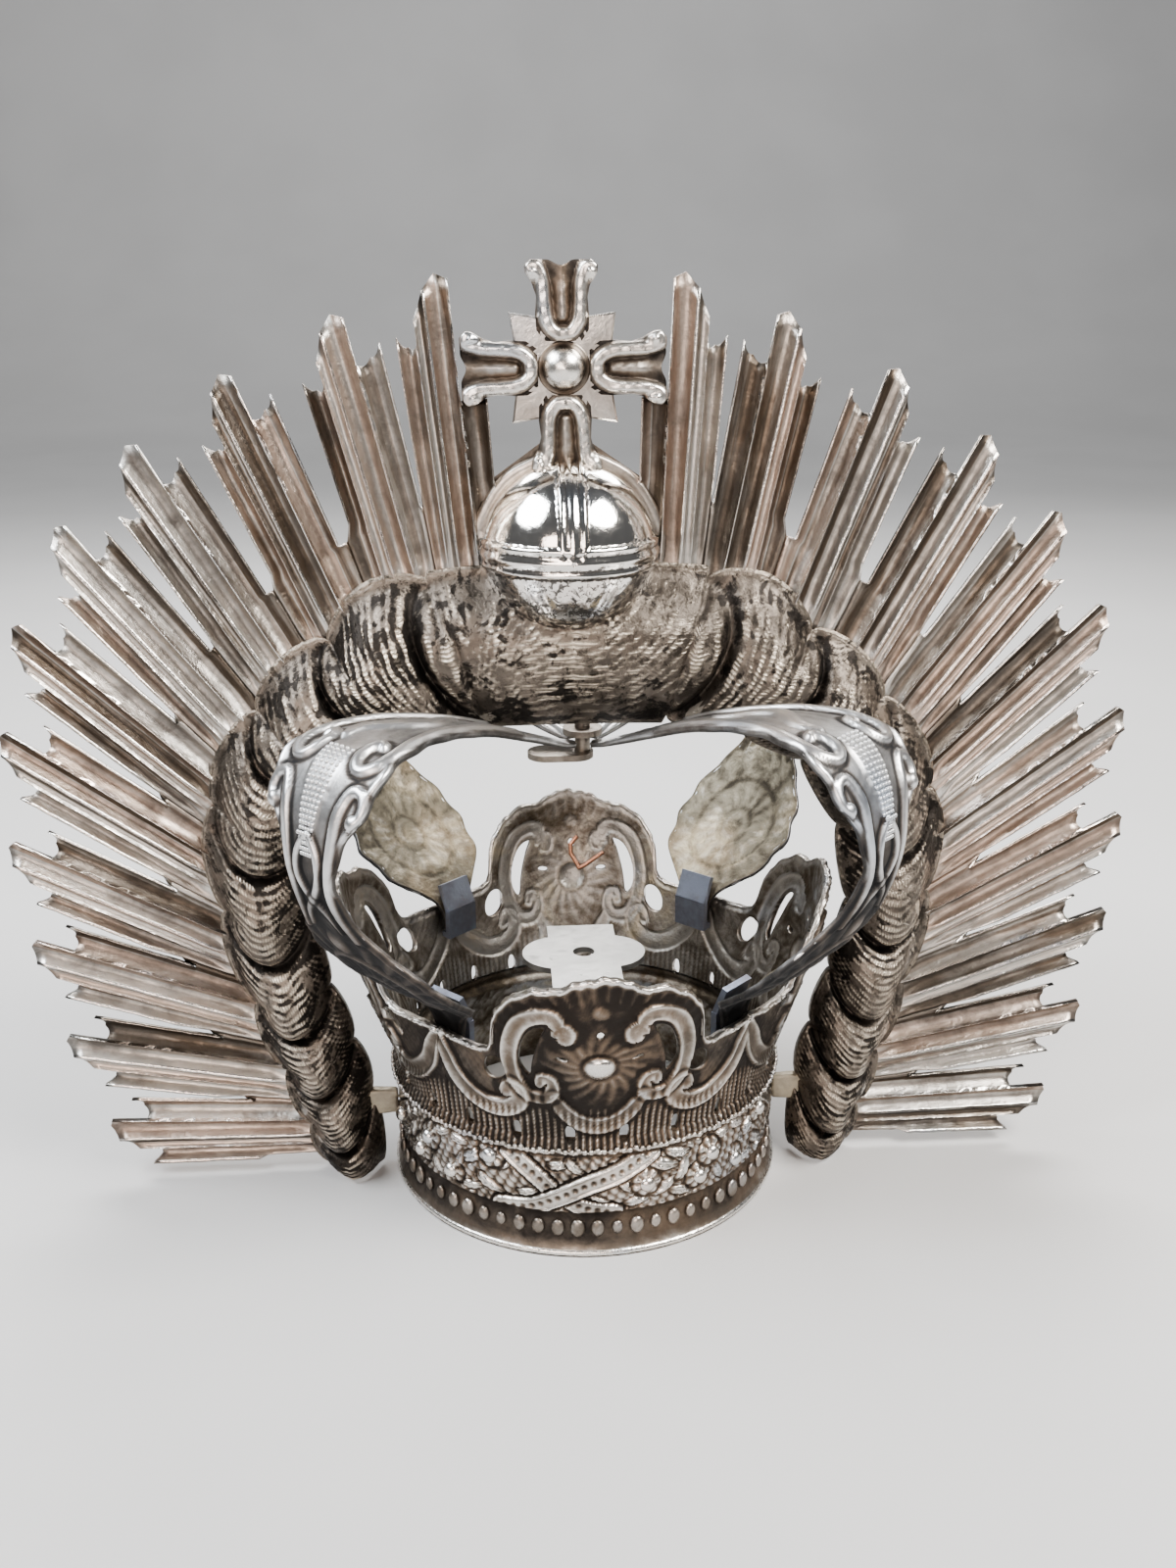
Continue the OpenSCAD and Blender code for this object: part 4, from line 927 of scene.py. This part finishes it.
def build_arches(sizes):
    """Four bowed strips with scrolls, a dotted rib, a knot and wired edges."""
    rows, cols = 270, 57
    row = smooth_rows(ARCH, np.linspace(0, len(ARCH) - 1, rows))
    way = np.gradient(row[:, :2], axis=0)
    way /= np.linalg.norm(way, axis=1)[:, None]
    run = np.concatenate([[0], np.cumsum(np.hypot(*np.diff(row[:, :2], axis=0).T))])

    def on_arch(x, lift, keep=slice(None)):
        """Points x across and lift above the strip."""
        r, w = (v[keep].reshape(-1, 2, *[1] * (np.ndim(lift) - 1)) for v in (row[:, :2], way))
        return np.stack([x, -(r[:, 0] + w[:, 1] * lift), r[:, 1] - w[:, 0] * lift], -1)

    U, S = np.meshgrid(np.linspace(-1, 1, cols), run)
    lobes = 0.928 + 0.028 * np.cos((S - 66) * 2 * math.pi / 8.5) * (1 - step(98, 106, S))
    half = (0.5 * ARCH_WIDTH * row[:, 2])[:, None] * lobes
    h, shade = arch_relief(U, S, half)
    crown = (1.2 * (1 - U * U) - 0.6) * row[:, 2:3]
    top = crown + 0.2 + h * 0.85 * sizes.emboss
    # lift: darker in the painted shade, and lower towards the foot
    lift = np.clip(0.46 + 0.4 * h - 0.38 * shade - 0.56 * (1 - step(40, 68, S)), 0, 1)
    quads = grid_quads(rows, cols)
    rib = (run > 58) & (run < 77)
    spread = (0.55 + 0.8 * step(57, 77, run))[rib]
    edge = (run > 3) & (run < 130) & (np.arange(rows) % 2 == 0)
    ribs, facing, edges, thick = [], [], [], []
    for name, turn in ARCHES:
        me = sheet_mesh(name + "_strip", turned(on_arch(half * U, top), turn),
                        turned(on_arch(half * U, crown - 0.6 + h * 0.25), turn), [quads], lift,
                        np.clip(0.5 - 0.22 * h, 0, 1), np.stack([half * U, S], -1))
        add_piece(name + "_strip", me, "arch", (name,))
        index = np.zeros(len(me.polygons), int)
        index[len(quads):2 * len(quads)] = 1
        me.materials.append(finish_of("arch_inside"))
        me.polygons.foreach_set("material_index", index)
        for lane in range(-2, 3):
            x = lane * spread
            ribs.append(turned(on_arch(x, (top[:, cols // 2] + 0.1)[rib] - 0.025 * x ** 2, rib), turn))
            facing.append(turned(np.stack([0 * x, -way[rib, 1], -way[rib, 0]], -1), turn))
        for side in (0, -1):
            x = (half * U)[edge, side] * (1 - 0.5 / np.maximum(half[edge, 0], 1))
            edges.append(turned(on_arch(x, crown[edge, side] + 0.1, edge), turn))
            thick.append(np.clip(1 + 0.5 * pits(run[edge], run[edge] * 0.6, x, 3.1, 0.6), 0.5, 1.4))
    beads("arch_rib_beads", ribs, facing, 0.76 * sizes.bead_spacing / MM, 0.42, "arch", ARCH_NODES)
    wires("arch_edges", edges, thick, 0.9 * sizes.edge_wire, "arch", ARCH_NODES, 0.6)


# Halo
def on_halo(x, z, h):
    """Points h in front of the halo's leaning middle plane."""
    return np.stack([x - HALO_LEAN * (z - LUG_Z), -HALO_Y - h + 0 * x, z + 0 * x], -1)


def swell(t):
    """A puffed profile that is 0 at 0 and 1 and rises steeply between."""
    return np.sqrt(np.clip(np.sin(math.pi * t), 0, 1))


def build_cloud(sizes):
    """Horseshoe of puffed lobes with stamped ridges."""
    per, across = 55, 36
    S, K = np.meshgrid(np.linspace(0, 1, across), np.linspace(0, LOBES, LOBES * per + 1))
    part = K - np.minimum(np.floor(K), LOBES - 1)
    row = smooth_rows(CREASES, K)
    mid = (row[..., :2] + row[..., 2:]) / 2
    middle = np.minimum(np.floor(K), LOBES - 1) == (LOBES - 1) // 2
    puff = np.where(middle, 0, swell(part) - 0.5)[..., None]
    outer = mid + (row[..., :2] - mid) * (1 + 0.26 * puff)
    inner = mid + (row[..., 2:] - mid) * (1 + 0.2 * puff)
    x, z = np.moveaxis(outer + (inner - outer) * S[..., None], -1, 0)
    # lobes bow towards the top, and each one swells towards its lower crease
    ang = np.clip(np.arctan2(x, z - 62), -1.6, 1.6)
    KK = np.clip(K - 0.5 * np.sin(ang) * 4 * S * (1 - S), 0.001, LOBES - 0.001)
    top = np.abs(K - LOBES / 2) < 0.5
    lobe = np.where(top, LOBES // 2, np.floor(KK))
    f = KK - np.floor(KK)
    down = np.clip(np.where(KK > LOBES / 2, f, 1 - f), 0, 1)
    level = np.where(top, 0.68 + 0.32 * swell(K - np.floor(K)), 0.52 + 0.48 * swell(down ** 1.2))
    ends = np.minimum(step(0, 0.5, K), step(0, 0.5, LOBES - K))
    body = np.interp(S, *SECTION.T) * level * (0.72 + 0.28 * ends)
    bulge = window(S, 0.05, 0.11, 0.95, 0.99)
    # ridges, which turn round the orb in the middle lobe
    orb = np.hypot(x, z - ORB_Z)
    phase = np.where(top, (orb - 17) / 1.6, f * (10 + (lobe * 5) % 3)) + 0.26 * pits(x, z, x, 9.0, 0.7)
    worn = np.clip(0.62 + 0.6 * pits(x, z, x * 0.5, 5.5, 1.9), 0.15, 0.9)
    calm = np.where(top, 1 - step(31, 33, orb), 1.0)
    ridge = (0.5 + 0.5 * np.cos(2 * math.pi * phase)) ** 1.3 * worn * bulge * calm
    crease = bell(np.minimum(f, 1 - f), 0, 0.045) * np.where(top, 0, 1) * bulge
    rim = bell(S, 0.012, 0.02) + bell(S, 0.988, 0.02)
    H = body * CLOUD_BULGE + ridge * 0.36 - crease * 1.2 + rim * 0.35 + 0.2 * pits(x, z, x, 3.1, 0.5) * bulge
    z = np.maximum(z, LOWEST)
    lift = np.clip(0.04 + 0.66 * ridge - crease * 0.4 + 0.36 * body + (1 - bulge) * 0.3 + rim * 0.35, 0, 1)
    behind = body * CLOUD_BULGE * 0.97 - crease * 1.2 * (body > 0.2)
    me = sheet_mesh("cloud", on_halo(x, z, np.maximum(H, 0.0) + SHEET / 2), on_halo(x, z, behind - SHEET / 2),
                    [grid_quads(*K.shape)], lift, 0.35, np.stack([K * 20.0, S * 27], -1), True)
    add_piece("cloud", me, "cloud", ("halo",))


def ray_section():
    """Lines along a group: share across, cut, height of the round gutters, and facet."""
    lines = RAY_LINES
    share, cut = [], []
    for j, (a, b) in enumerate(zip(lines[:-1], lines[1:])):
        t = np.linspace(0, 1, 5, endpoint=False)
        kind = 3 if 2 <= j <= 5 else 2
        sag = 0.022 * np.sin(math.pi * t) * (kind == 2)
        share.append(a[0] + (b[0] - a[0]) * t)
        cut.append(a[kind] + (b[kind] - a[kind]) * t - sag)
        if j in (1, 5):  # the step between a short ray and the long one
            share.append([b[0] - 0.002])
            cut.append([b[kind]])
    s, cut = np.concatenate(share + [[0.5]]), np.concatenate(cut + [[lines[-1, 2]]])
    height = np.zeros(s.shape)
    for a, floor, b in zip(lines[:-2:2], lines[1:-1:2], lines[2::2]):
        t = np.clip((s - (a[0] + b[0]) / 2) / ((b[0] - a[0]) / 2), -1, 1)
        gutter = floor[1] + (np.where(t < 0, a[1], b[1]) - floor[1]) * np.abs(t) ** 2.2
        height = np.where((s >= a[0]) & (s <= b[0]), gutter, height)
    facet = np.clip(np.searchsorted(lines[:, 0], s + 1e-6) - 1, 0, len(lines) - 2)
    return s, cut, height, facet


def build_rays(sizes):
    """Fluted rays in groups, each ray cut at its own length."""
    s, cut, height, facet = ray_section()
    n = len(GROUPS)
    turn = rad(GROUPS[:, 2])
    along, across = np.stack([np.sin(turn), np.cos(turn)], 1), np.stack([np.cos(turn), -np.sin(turn)], 1)
    reach = RAY_REACH - RAY_TAPER * np.arange(n) / (n - 1)
    foot, depth = -1.5, GROUPS[:, 3] + 2.6
    near_lo, near_hi = np.clip(-2 * s, 0, 1)[:, None] ** 4, np.clip(2 * s, 0, 1)[:, None] ** 4
    dip = bell(np.abs(s), 0.5, 0.03)

    def at(i, t, share):
        """Points of group i, t along it and a share of its width across."""
        wide = GROUP_WIDTH * (SLOT_WIDTH + (1 - SLOT_WIDTH) * t / reach[i])
        return GROUPS[i, :2] + np.multiply.outer(t, along[i]) + np.multiply.outer(wide * share, across[i])

    # neighbours share their edge from the cloud to the foot of the slot
    meets = [(at(i, foot, 0.5) + at(i + 1, foot, -0.5)) / 2 for i in range(n - 1)]
    meets = [at(0, foot, -0.55)] + meets + [at(n - 1, foot, 0.5)]
    roots = np.array([at(i, -depth[i], 0.0) for i in range(n)])
    bounds = (roots[:-1] + roots[1:]) / 2
    bounds = [roots[0] + (roots[0] - roots[1]) / 2, *bounds, roots[-1] + (roots[-1] - roots[-2]) / 2]
    for side, name in ((-1, "left"), (1, "right")):
        fronts, backs, faces, lifts, plans, base = [], [], [], [], [], 0
        for i in range(n):
            points, heights, travel = [], [], []
            for tau in np.linspace(0, 1, 9):
                lo = bounds[i] + (meets[i] - bounds[i]) * tau
                hi = bounds[i + 1] + (meets[i + 1] - bounds[i + 1]) * tau
                t = -depth[i] + (depth[i] + foot) * tau
                left, right = at(i, t, -0.5), at(i, t, 0.5)
                points.append(left + (right - left) * (s[:, None] + 0.5)
                              + (lo - left) * near_lo + (hi - right) * near_hi)
                heights.append(height * (0.15 + 0.85 * step(0.1, 0.45, tau)) * (1 - dip) - 0.4 * dip)
                travel.append(np.full(s.shape, t))
            for share in [0.0, *np.linspace(0.03, 1, 14)]:
                plain = (i == 0) & (s < RAY_LINES[2, 0] - 0.001)
                t = share * reach[i] * np.where(plain, PLAIN_CUT, cut)
                points.append(at(i, t, s))
                heights.append(height * (1 + 0.05 * np.sin(t * 0.9 + i)))
                travel.append(t)
            P, H, T = np.array(points), np.array(heights), np.array(travel)
            x, z = P[..., 0] * side, np.maximum(P[..., 1], 1.05)
            wave = 0.12 * pits(x, z, x, 5.5, i * 0.7)
            fronts.append(on_halo(x, z, H * RAY_RELIEF + SHEET / 2 + wave).reshape(-1, 3))
            backs.append(on_halo(x, z, H * RAY_RELIEF * 0.92 - SHEET / 2 + wave).reshape(-1, 3))
            lift = 0.2 + 0.2 * (H + 1) / 2 + 0.62 * np.clip((H - 0.35) / 0.5, 0, 1)
            lifts.append(np.clip(lift, 0, 1).ravel())
            # a random number for each facet, which picks the painted highlight, painted reflection and painted
            # shade that the ray silver gives it
            facet_light = (np.sin(12.9898 * i + 78.233 * facet + 37.7 * side) * 43758.5453) % 1
            plans.append(np.stack([s * GROUP_WIDTH + 20 * i + 0 * T, T, facet_light + 0 * T], -1).reshape(-1, 3))
            faces.append(grid_quads(*T.shape)[:, ::-side] + base)
            base += T.size
        me = sheet_mesh("rays_" + name, *(np.concatenate(v) for v in (fronts, backs)), [np.concatenate(faces)],
                        np.concatenate(lifts), 0.32, np.concatenate(plans))
        add_piece("rays_" + name, me, "rays", ("halo",))


def revolve(profile, n):
    """Points of a profile (r, h) turned about the y axis, h towards the front."""
    a = rad(np.linspace(0, 360, n, endpoint=False))
    r, h = np.array(profile, float).T[:, :, None]
    return np.stack([r * np.sin(a), -h + 0 * a, r * np.cos(a)], -1)


def build_orb(sizes):
    """Bossed orb with a ribbed belt and strap, its hollow inside and its lip."""
    centre = on_halo(0.0, ORB_Z, 0.0)
    th, a = np.meshgrid(rad(np.linspace(0, 89.5, 64)), np.linspace(0, 2 * math.pi, 190, endpoint=False),
                        indexing="ij")
    x, y, z = ORB_R * np.cos(th) * np.sin(a), -ORB_R * np.sin(th), ORB_R * np.cos(th) * np.cos(a)
    d, e = np.abs(z), np.abs(x)
    belt = np.where(d < 2.7, 0.3 + 0.34 * (bell(d, 2.05, 0.5) + bell(d, 0, 0.8)), 0)
    strap = np.where((e < 2.5) & (z > 0), 0.3 + 0.32 * (bell(e, 1.9, 0.46) + bell(e, 0, 0.7)), 0)
    seam = np.maximum(bell(d, 1.25, 0.3) + bell(d, 2.85, 0.3),
                      (z > 2.6) * (bell(e, 1.15, 0.28) + bell(e, 2.65, 0.28)))
    dent = 0.07 * pits(x, y, z, 11.0, 0.8) + 0.006 * pits(x, z, y, 2.6, 0.2)
    R = 1 + (np.maximum(belt, strap) + dent) / ORB_R
    lift = np.clip(0.86 - 0.4 * seam - 0.26 * step(0, -5, z) - 0.1 * step(-7, -13, z), 0, 1)

    def bowl(name, points, tip, lift, finish, inward):
        rows, cols = points.shape[:2]
        faces = [grid_quads(rows, cols, True), cap((rows - 1) * cols, cols, rows * cols)]
        verts = np.concatenate([points.reshape(-1, 3), [[0, tip, 0]]]) + centre
        me = make_mesh(name, verts, [f[:, ::-1] for f in faces] if inward else faces, lift)
        add_piece(name, me, finish, ("halo",))

    bowl("orb", np.stack([x * R, y * R - 0.1, z * R], -1), -ORB_R * 1.02 - 0.1,
         np.append(lift.ravel(), 0.9), "orb", False)
    profile = [(14.6, -0.5), (16.2, -0.72), (17.4, -0.72), (17.9, -0.3), (17.9, 0.35), (17.3, 0.85),
               (16.2, 0.75), (15.4, 0.3), (14.6, 0.1), (14.6, -0.5)]
    ring = revolve(profile, 160) * (1 + 0.006 * np.sin(np.arange(160) * 0.41)[None, :, None]) + centre
    me = make_mesh("orb_lip", ring, grid_quads(len(profile), 160, True)[:, ::-1], 0.42)
    add_piece("orb_lip", me, "cross", ("halo",))
    bowl("orb_inside", 0.93 * np.stack([x, y, z], -1)[::3, ::2], -ORB_R * 0.93, 0.3, "lining", True)


def build_saddle(sizes):
    """The sheet behind the orb that joins the two halves of the rays."""
    corners = np.array([[-22, 119], [22, 119], [20.5, 131], [14.5, 140], [4.5, 147], [-4.5, 147], [-14.5, 140],
                        [-20.5, 131], [-22, 119]], float)
    n, hole = 160, 14.2
    t = np.linspace(0, len(corners) - 1, n + 1)[:-1]
    outer = [np.interp(t, np.arange(len(corners)), v) for v in corners.T]
    a = np.arctan2(outer[0], outer[1] - ORB_Z)
    inner = [hole * np.sin(a), ORB_Z + hole * np.cos(a)]
    ring = [on_halo(*edge, np.full(n, h)) for edge, h in (
        (outer, -0.9), (inner, -0.9), (inner, -1.5), (outer, -1.5), (outer, -0.9))]
    me = make_mesh("saddle", np.array(ring), grid_quads(len(ring), n, True)[:, ::-1], 0.4)
    add_piece("saddle", me, "rays", ("halo",))


def build_cross(sizes):
    """Pointed plate, four arms of a band bent into two curled leaves, and a boss."""
    # square sheet with its corners drawn out between the arms
    spikes = [(turn + 90 * q, r) for q in range(4) for turn, r in ((0, 8.4), (27, 9.7), (45, 13.3), (63, 9.7))]
    n = len(spikes)
    turn, r = np.array(spikes).T
    x, z = r * np.sin(rad(turn)), r * np.cos(rad(turn))
    rings = [on_halo(x * k, z * k + CROSS_Z, np.full(n, h)) for h, k in (
        (-0.8, 0.97), (-0.8, 1.0), (0.55, 1.0), (0.8, 0.96))]
    verts = np.concatenate(rings + [on_halo(np.zeros(2), np.full(2, CROSS_Z), np.array([0.9, -0.8]))])
    me = make_mesh("cross_plate", verts, [grid_quads(4, n, True), np.concatenate([
        cap(3 * n, n, 4 * n), cap(0, n, 4 * n + 1)[:, [1, 0, 2]]])], 0.55)
    me.polygons.foreach_set("use_smooth", np.zeros(len(me.polygons), bool))
    add_piece("cross_plate", me, "cross", ("halo",))
    # a raised band bent into a U round a flat tongue, its two ends curled out
    U, V = np.meshgrid(np.linspace(-1, 1, 41), np.linspace(4.6, 18.1, 44))
    X = U * np.interp(V, [4.6, 6.5, 9, 12, 14, 16, 17.2, 18.1], [3.3, 4.6, 4.7, 4.4, 5.0, 6.2, 6.3, 5.2])
    V = V - 0.9 * (V > 12) * (V - 12) / 6 * np.cos(math.pi * U) ** 2 * (np.abs(U) < 0.5)
    h = moulding(X, V, curve_points(ARM_BAND, 90), 1.5, 2.3, 0.1, 0.1)
    h = np.maximum(h, 1.35 * bell(X, 0, 1.4) * step(7.0, 8.6, V) * (1 - 0.35 * step(12, 16, V)))
    h = np.maximum(h, dome(np.abs(X), V, 5.0, 16.2, 1.3, 2.5)) + 0.1 * pits(X, V, X, 3.3, 0.4)
    n, faces, fronts, backs = X.size, [], [], []
    for k in range(4):
        c, q = math.cos(math.pi / 2 * k), math.sin(math.pi / 2 * k)
        x, z = (X * c + V * q).ravel(), (V * c - X * q).ravel() + CROSS_Z
        fronts.append(on_halo(x, z, 0.85 + h.ravel()))
        backs.append(on_halo(x, z, np.full(n, -0.7)))
        faces.append(grid_quads(*X.shape) + k * n)
    me = sheet_mesh("cross_arms", fronts, backs, [np.concatenate(faces)],
                    np.tile(np.clip(0.06 + 0.27 * h.ravel(), 0, 1), 4), 0.3, flip=True)
    add_piece("cross_arms", me, "cross", ("halo",))
    profile = [(0, 3.9), (1.2, 3.72), (2.4, 3.1), (3.3, 2.2), (3.75, 1.3), (3.8, 1.0), (4.4, 1.0),
               (4.7, 0.85), (4.7, 0.2)]
    me = make_mesh("cross_boss", revolve(profile, 64) + on_halo(0.0, CROSS_Z, 0.0),
                   grid_quads(len(profile), 64, True)[:, ::-1],
                   np.repeat([0.95, 0.95, 0.9, 0.8, 0.4, 0.2, 0.3, 0.3, 0.2], 64))
    add_piece("cross_boss", me, "cross", ("halo",))


def build_lugs(sizes):
    """Solder tabs that hold the halo's feet to the circlet."""
    verts, faces = [], []
    for side in (-1, 1):
        base = len(verts)
        for x in (38.7, 46.0):
            for h in (-0.3, 1.8):
                for z in (12.0, 18.0):
                    bulge = 0.35 if x > 40 and h > 0 else 0.0
                    lean = (0.5 if z < 14 else -0.4) * (x < 40)
                    verts.append([side * x, -HALO_Y - h - bulge, z + lean])
        sides = np.array([[0, 1, 3, 2], [4, 6, 7, 5], [0, 4, 5, 1], [2, 3, 7, 6], [0, 2, 6, 4], [1, 5, 7, 3]])
        faces.append(base + sides[:, ::side])
    me = make_mesh("solder_tabs", verts, np.concatenate(faces), 0.5)
    obj = add_piece("solder_tabs", me, "solder", ("halo",))
    bevel = obj.modifiers.new("Round edges", "BEVEL")
    bevel.width, bevel.segments = 0.0006, 3


def dress_fittings(sizes):
    """Finishes for the plate, the clips, the screw and the wire."""
    finishes = {"head_plate": "plate", "top_screw": "screw", "tie_wire": "copper", "clip_front_left": "clip",
                "clip_front_right": "clip", "clip_rear_left": "clip", "clip_rear_right": "clip"}
    for node, kind in finishes.items():
        for slot in bpy.data.objects[node].material_slots:
            slot.material = finish_of(kind)


# Stage: name, place, size, power, colour and aim of each lamp, in metres and watts
LAMPS = (
    ("key_right", (0.4, -0.25, 0.6), (0.5, 0.36), 8.5, (1.0, 0.97, 0.93), (0, 0, 0.07)),
    ("top_left", (-0.45, -0.1, 0.6), (0.5, 0.4), 6.5, (0.92, 0.96, 1.0), (0, 0, 0.07)),
    ("back_rim", (0.05, 0.55, 0.55), (0.8, 0.25), 6.0, (1.0, 0.98, 0.96), (0, 0, 0.07)),
    ("backdrop", (0.0, 0.9, 1.5), (2.0, 0.5), 14.0, (1.0, 1.0, 1.0), (0.0, 2.1, 0.7)),
    ("front_fill", (-0.2, -0.7, 0.32), (0.6, 0.35), 2.8, (1.0, 0.86, 0.78), (0, 0, 0.07)))
FOCAL_PX = 1538.92
FRAME_PX = 1600.0
SENSOR_MM = 36.0
CAMERA_PLACE = (-0.0170, -0.2796, 0.1771)
CAMERA_TURN = (0.3313, 0.0645, -0.0048)  # pitch down, yaw and roll, in radians
FLOOR_Z = -0.0002
SWEEP_START = 1.3
SWEEP_R = 0.8


def build_stage(sizes):
    """Pale floor, soft lights and the camera at the photograph's angle."""
    scene = bpy.context.scene
    s = Shade("Pale floor")
    pale = tuple(scene.crown_finish.floor)
    s.done(Base_Color=s.mix(s.noise(6, 3, 0.5).ramp(0.3, 0.7), pale, times(pale, 1.06)), Roughness=0.8)
    # a flat floor that sweeps up far behind the crown
    side = [(-3.0, FLOOR_Z)]
    side += [(SWEEP_START + SWEEP_R * math.sin(t), SWEEP_R - SWEEP_R * math.cos(t) + FLOOR_Z)
             for t in np.linspace(0, math.pi / 2, 25)]
    side += [(SWEEP_START + SWEEP_R, 2.6)]
    me = bpy.data.meshes.new("floor")
    me.from_pydata([(x, y, z) for y, z in side for x in (-3.5, 3.5)], [],
                   [(2 * k, 2 * k + 1, 2 * k + 3, 2 * k + 2) for k in range(len(side) - 1)])
    me.polygons.foreach_set("use_smooth", np.ones(len(me.polygons), bool))
    me.materials.append(s.mat)
    floor = bpy.data.objects.new("floor", me)
    scene.collection.objects.link(floor)
    world = scene.world or bpy.data.worlds.new("World")
    scene.world = world
    world.use_nodes = True
    back = world.node_tree.nodes.get("Background") or world.node_tree.nodes.new("ShaderNodeBackground")
    back.inputs[0].default_value = (0.62, 0.63, 0.65, 1)
    back.inputs[1].default_value = 0.2
    for name, place, size, power, colour, aim in LAMPS:
        data = bpy.data.lights.new(name, "AREA")
        data.shape, data.size, data.size_y = "ELLIPSE", size[0], size[1]
        data.energy, data.color = power, colour
        lamp = bpy.data.objects.new(name, data)
        lamp.location = place
        lamp.rotation_euler = (Vector(aim) - Vector(place)).to_track_quat("-Z", "Y").to_euler()
        scene.collection.objects.link(lamp)
    data = bpy.data.cameras.new("photo_camera")
    data.sensor_fit, data.sensor_width = "AUTO", SENSOR_MM
    data.lens, data.clip_start = FOCAL_PX * SENSOR_MM / FRAME_PX, 0.01
    cam = bpy.data.objects.new("photo_camera", data)
    scene.collection.objects.link(cam)
    pitch, yaw, roll = CAMERA_TURN
    ahead = Vector((math.sin(yaw) * math.cos(pitch), math.cos(yaw) * math.cos(pitch), -math.sin(pitch)))
    level = Vector((math.cos(yaw), -math.sin(yaw), 0))
    up = level.cross(ahead)
    turn = Matrix((math.cos(roll) * level + math.sin(roll) * up,
                   math.cos(roll) * up - math.sin(roll) * level, -ahead))
    cam.matrix_world = Matrix.Translation(CAMERA_PLACE) @ turn.transposed().to_4x4()
    scene.camera = cam
    scene.view_settings.view_transform = "AgX"
    scene.view_settings.look = "AgX - Medium High Contrast"


# Add-on
def length(name, text, default, low, high):
    return FloatProperty(name=name, description=text, default=default, min=low, max=high, subtype="DISTANCE",
                         unit="LENGTH", precision=5)


def colour(name, text, *default):
    return FloatVectorProperty(name=name, description=text, subtype="COLOR", default=default, min=0, max=1)


class CrownSizes(bpy.types.PropertyGroup):
    gadroons: IntProperty(name="Gadroons", description="Number of beads round the base", default=GADROONS,
                          min=24, max=96)
    bead_spacing: length("Bead spacing", "Spacing of the small beads", 0.00125, 0.0008, 0.003)
    edge_wire: length("Edge wire", "Radius of the wires along the edges", 0.00042, 0.0002, 0.0008)
    emboss: FloatProperty(name="Embossing", description="Depth of the embossed relief against the real one",
                          default=1.0, min=0.2, max=1.2, subtype="FACTOR")


class CrownFinish(bpy.types.PropertyGroup):
    silver: colour("Silver", "Colour of rubbed silver", 0.75, 0.725, 0.685)
    oxide: colour("Oxide", "Colour of the brown oxide", 0.16, 0.135, 0.111)
    arch: colour("Arch silver", "Colour of the polished arches", 0.68, 0.685, 0.69)
    strip: colour("Clips", "Colour of the strips that hold the arches", 0.38, 0.43, 0.54)
    copper: colour("Wire", "Colour of the copper wire", 0.83, 0.46, 0.32)
    floor: colour("Floor", "Colour of the pale floor", 0.5, 0.5, 0.5)
    soot: colour("Soot", "Colour of the hollows", 0.018, 0.014, 0.012)


def step_operator(idname, label, work):
    """An operator that builds one group of pieces."""

    def execute(self, context):
        work(context.scene.crown_sizes)
        return {"FINISHED"}

    return type("CROWN_OT_" + idname, (bpy.types.Operator,), {
        "bl_idname": "crown." + idname, "bl_label": label, "__doc__": work.__doc__, "execute": execute})


STEPS = [step_operator(*row) for row in (
    ("band", "Build the base band", build_band),
    ("gallery", "Build the gallery", build_gallery),
    ("gallery_edge", "Build the gallery's edge", build_gallery_edge),
    ("circlet_trim", "Build the circlet's trim", build_circlet_trim),
    ("arches", "Build the arches", build_arches),
    ("cloud", "Build the cloud", build_cloud),
    ("rays", "Build the rays", build_rays),
    ("orb", "Build the orb", build_orb),
    ("saddle", "Build the saddle", build_saddle),
    ("cross", "Build the cross", build_cross),
    ("lugs", "Build the solder tabs", build_lugs),
    ("fittings", "Finish the fittings", dress_fittings),
    ("stage", "Build the stage", build_stage))]


class CROWN_PT_panel(bpy.types.Panel):
    """Lists the crown's sizes, colours and build steps"""
    bl_label = "Imperial crown"
    bl_idname = "CROWN_PT_panel"
    bl_space_type = "VIEW_3D"
    bl_region_type = "UI"
    bl_category = "Crown"

    def draw(self, context):
        for group in (context.scene.crown_sizes, context.scene.crown_finish):
            for key in type(group).__annotations__:
                self.layout.prop(group, key)
        for cls in STEPS:
            self.layout.operator(cls.bl_idname)


CLASSES = [CrownSizes, CrownFinish, *STEPS, CROWN_PT_panel]


def register():
    for cls in CLASSES:
        bpy.utils.register_class(cls)
    bpy.types.Scene.crown_sizes = PointerProperty(type=CrownSizes)
    bpy.types.Scene.crown_finish = PointerProperty(type=CrownFinish)


def unregister():
    del bpy.types.Scene.crown_sizes
    del bpy.types.Scene.crown_finish
    for cls in reversed(CLASSES):
        bpy.utils.unregister_class(cls)


def plain(box):
    return [[float(v) for v in corner] for corner in box]


def main():
    register()
    for cls in STEPS:
        group, name = cls.bl_idname.split(".")
        getattr(getattr(bpy.ops, group), name)()


if __name__ == "__main__":
    main()
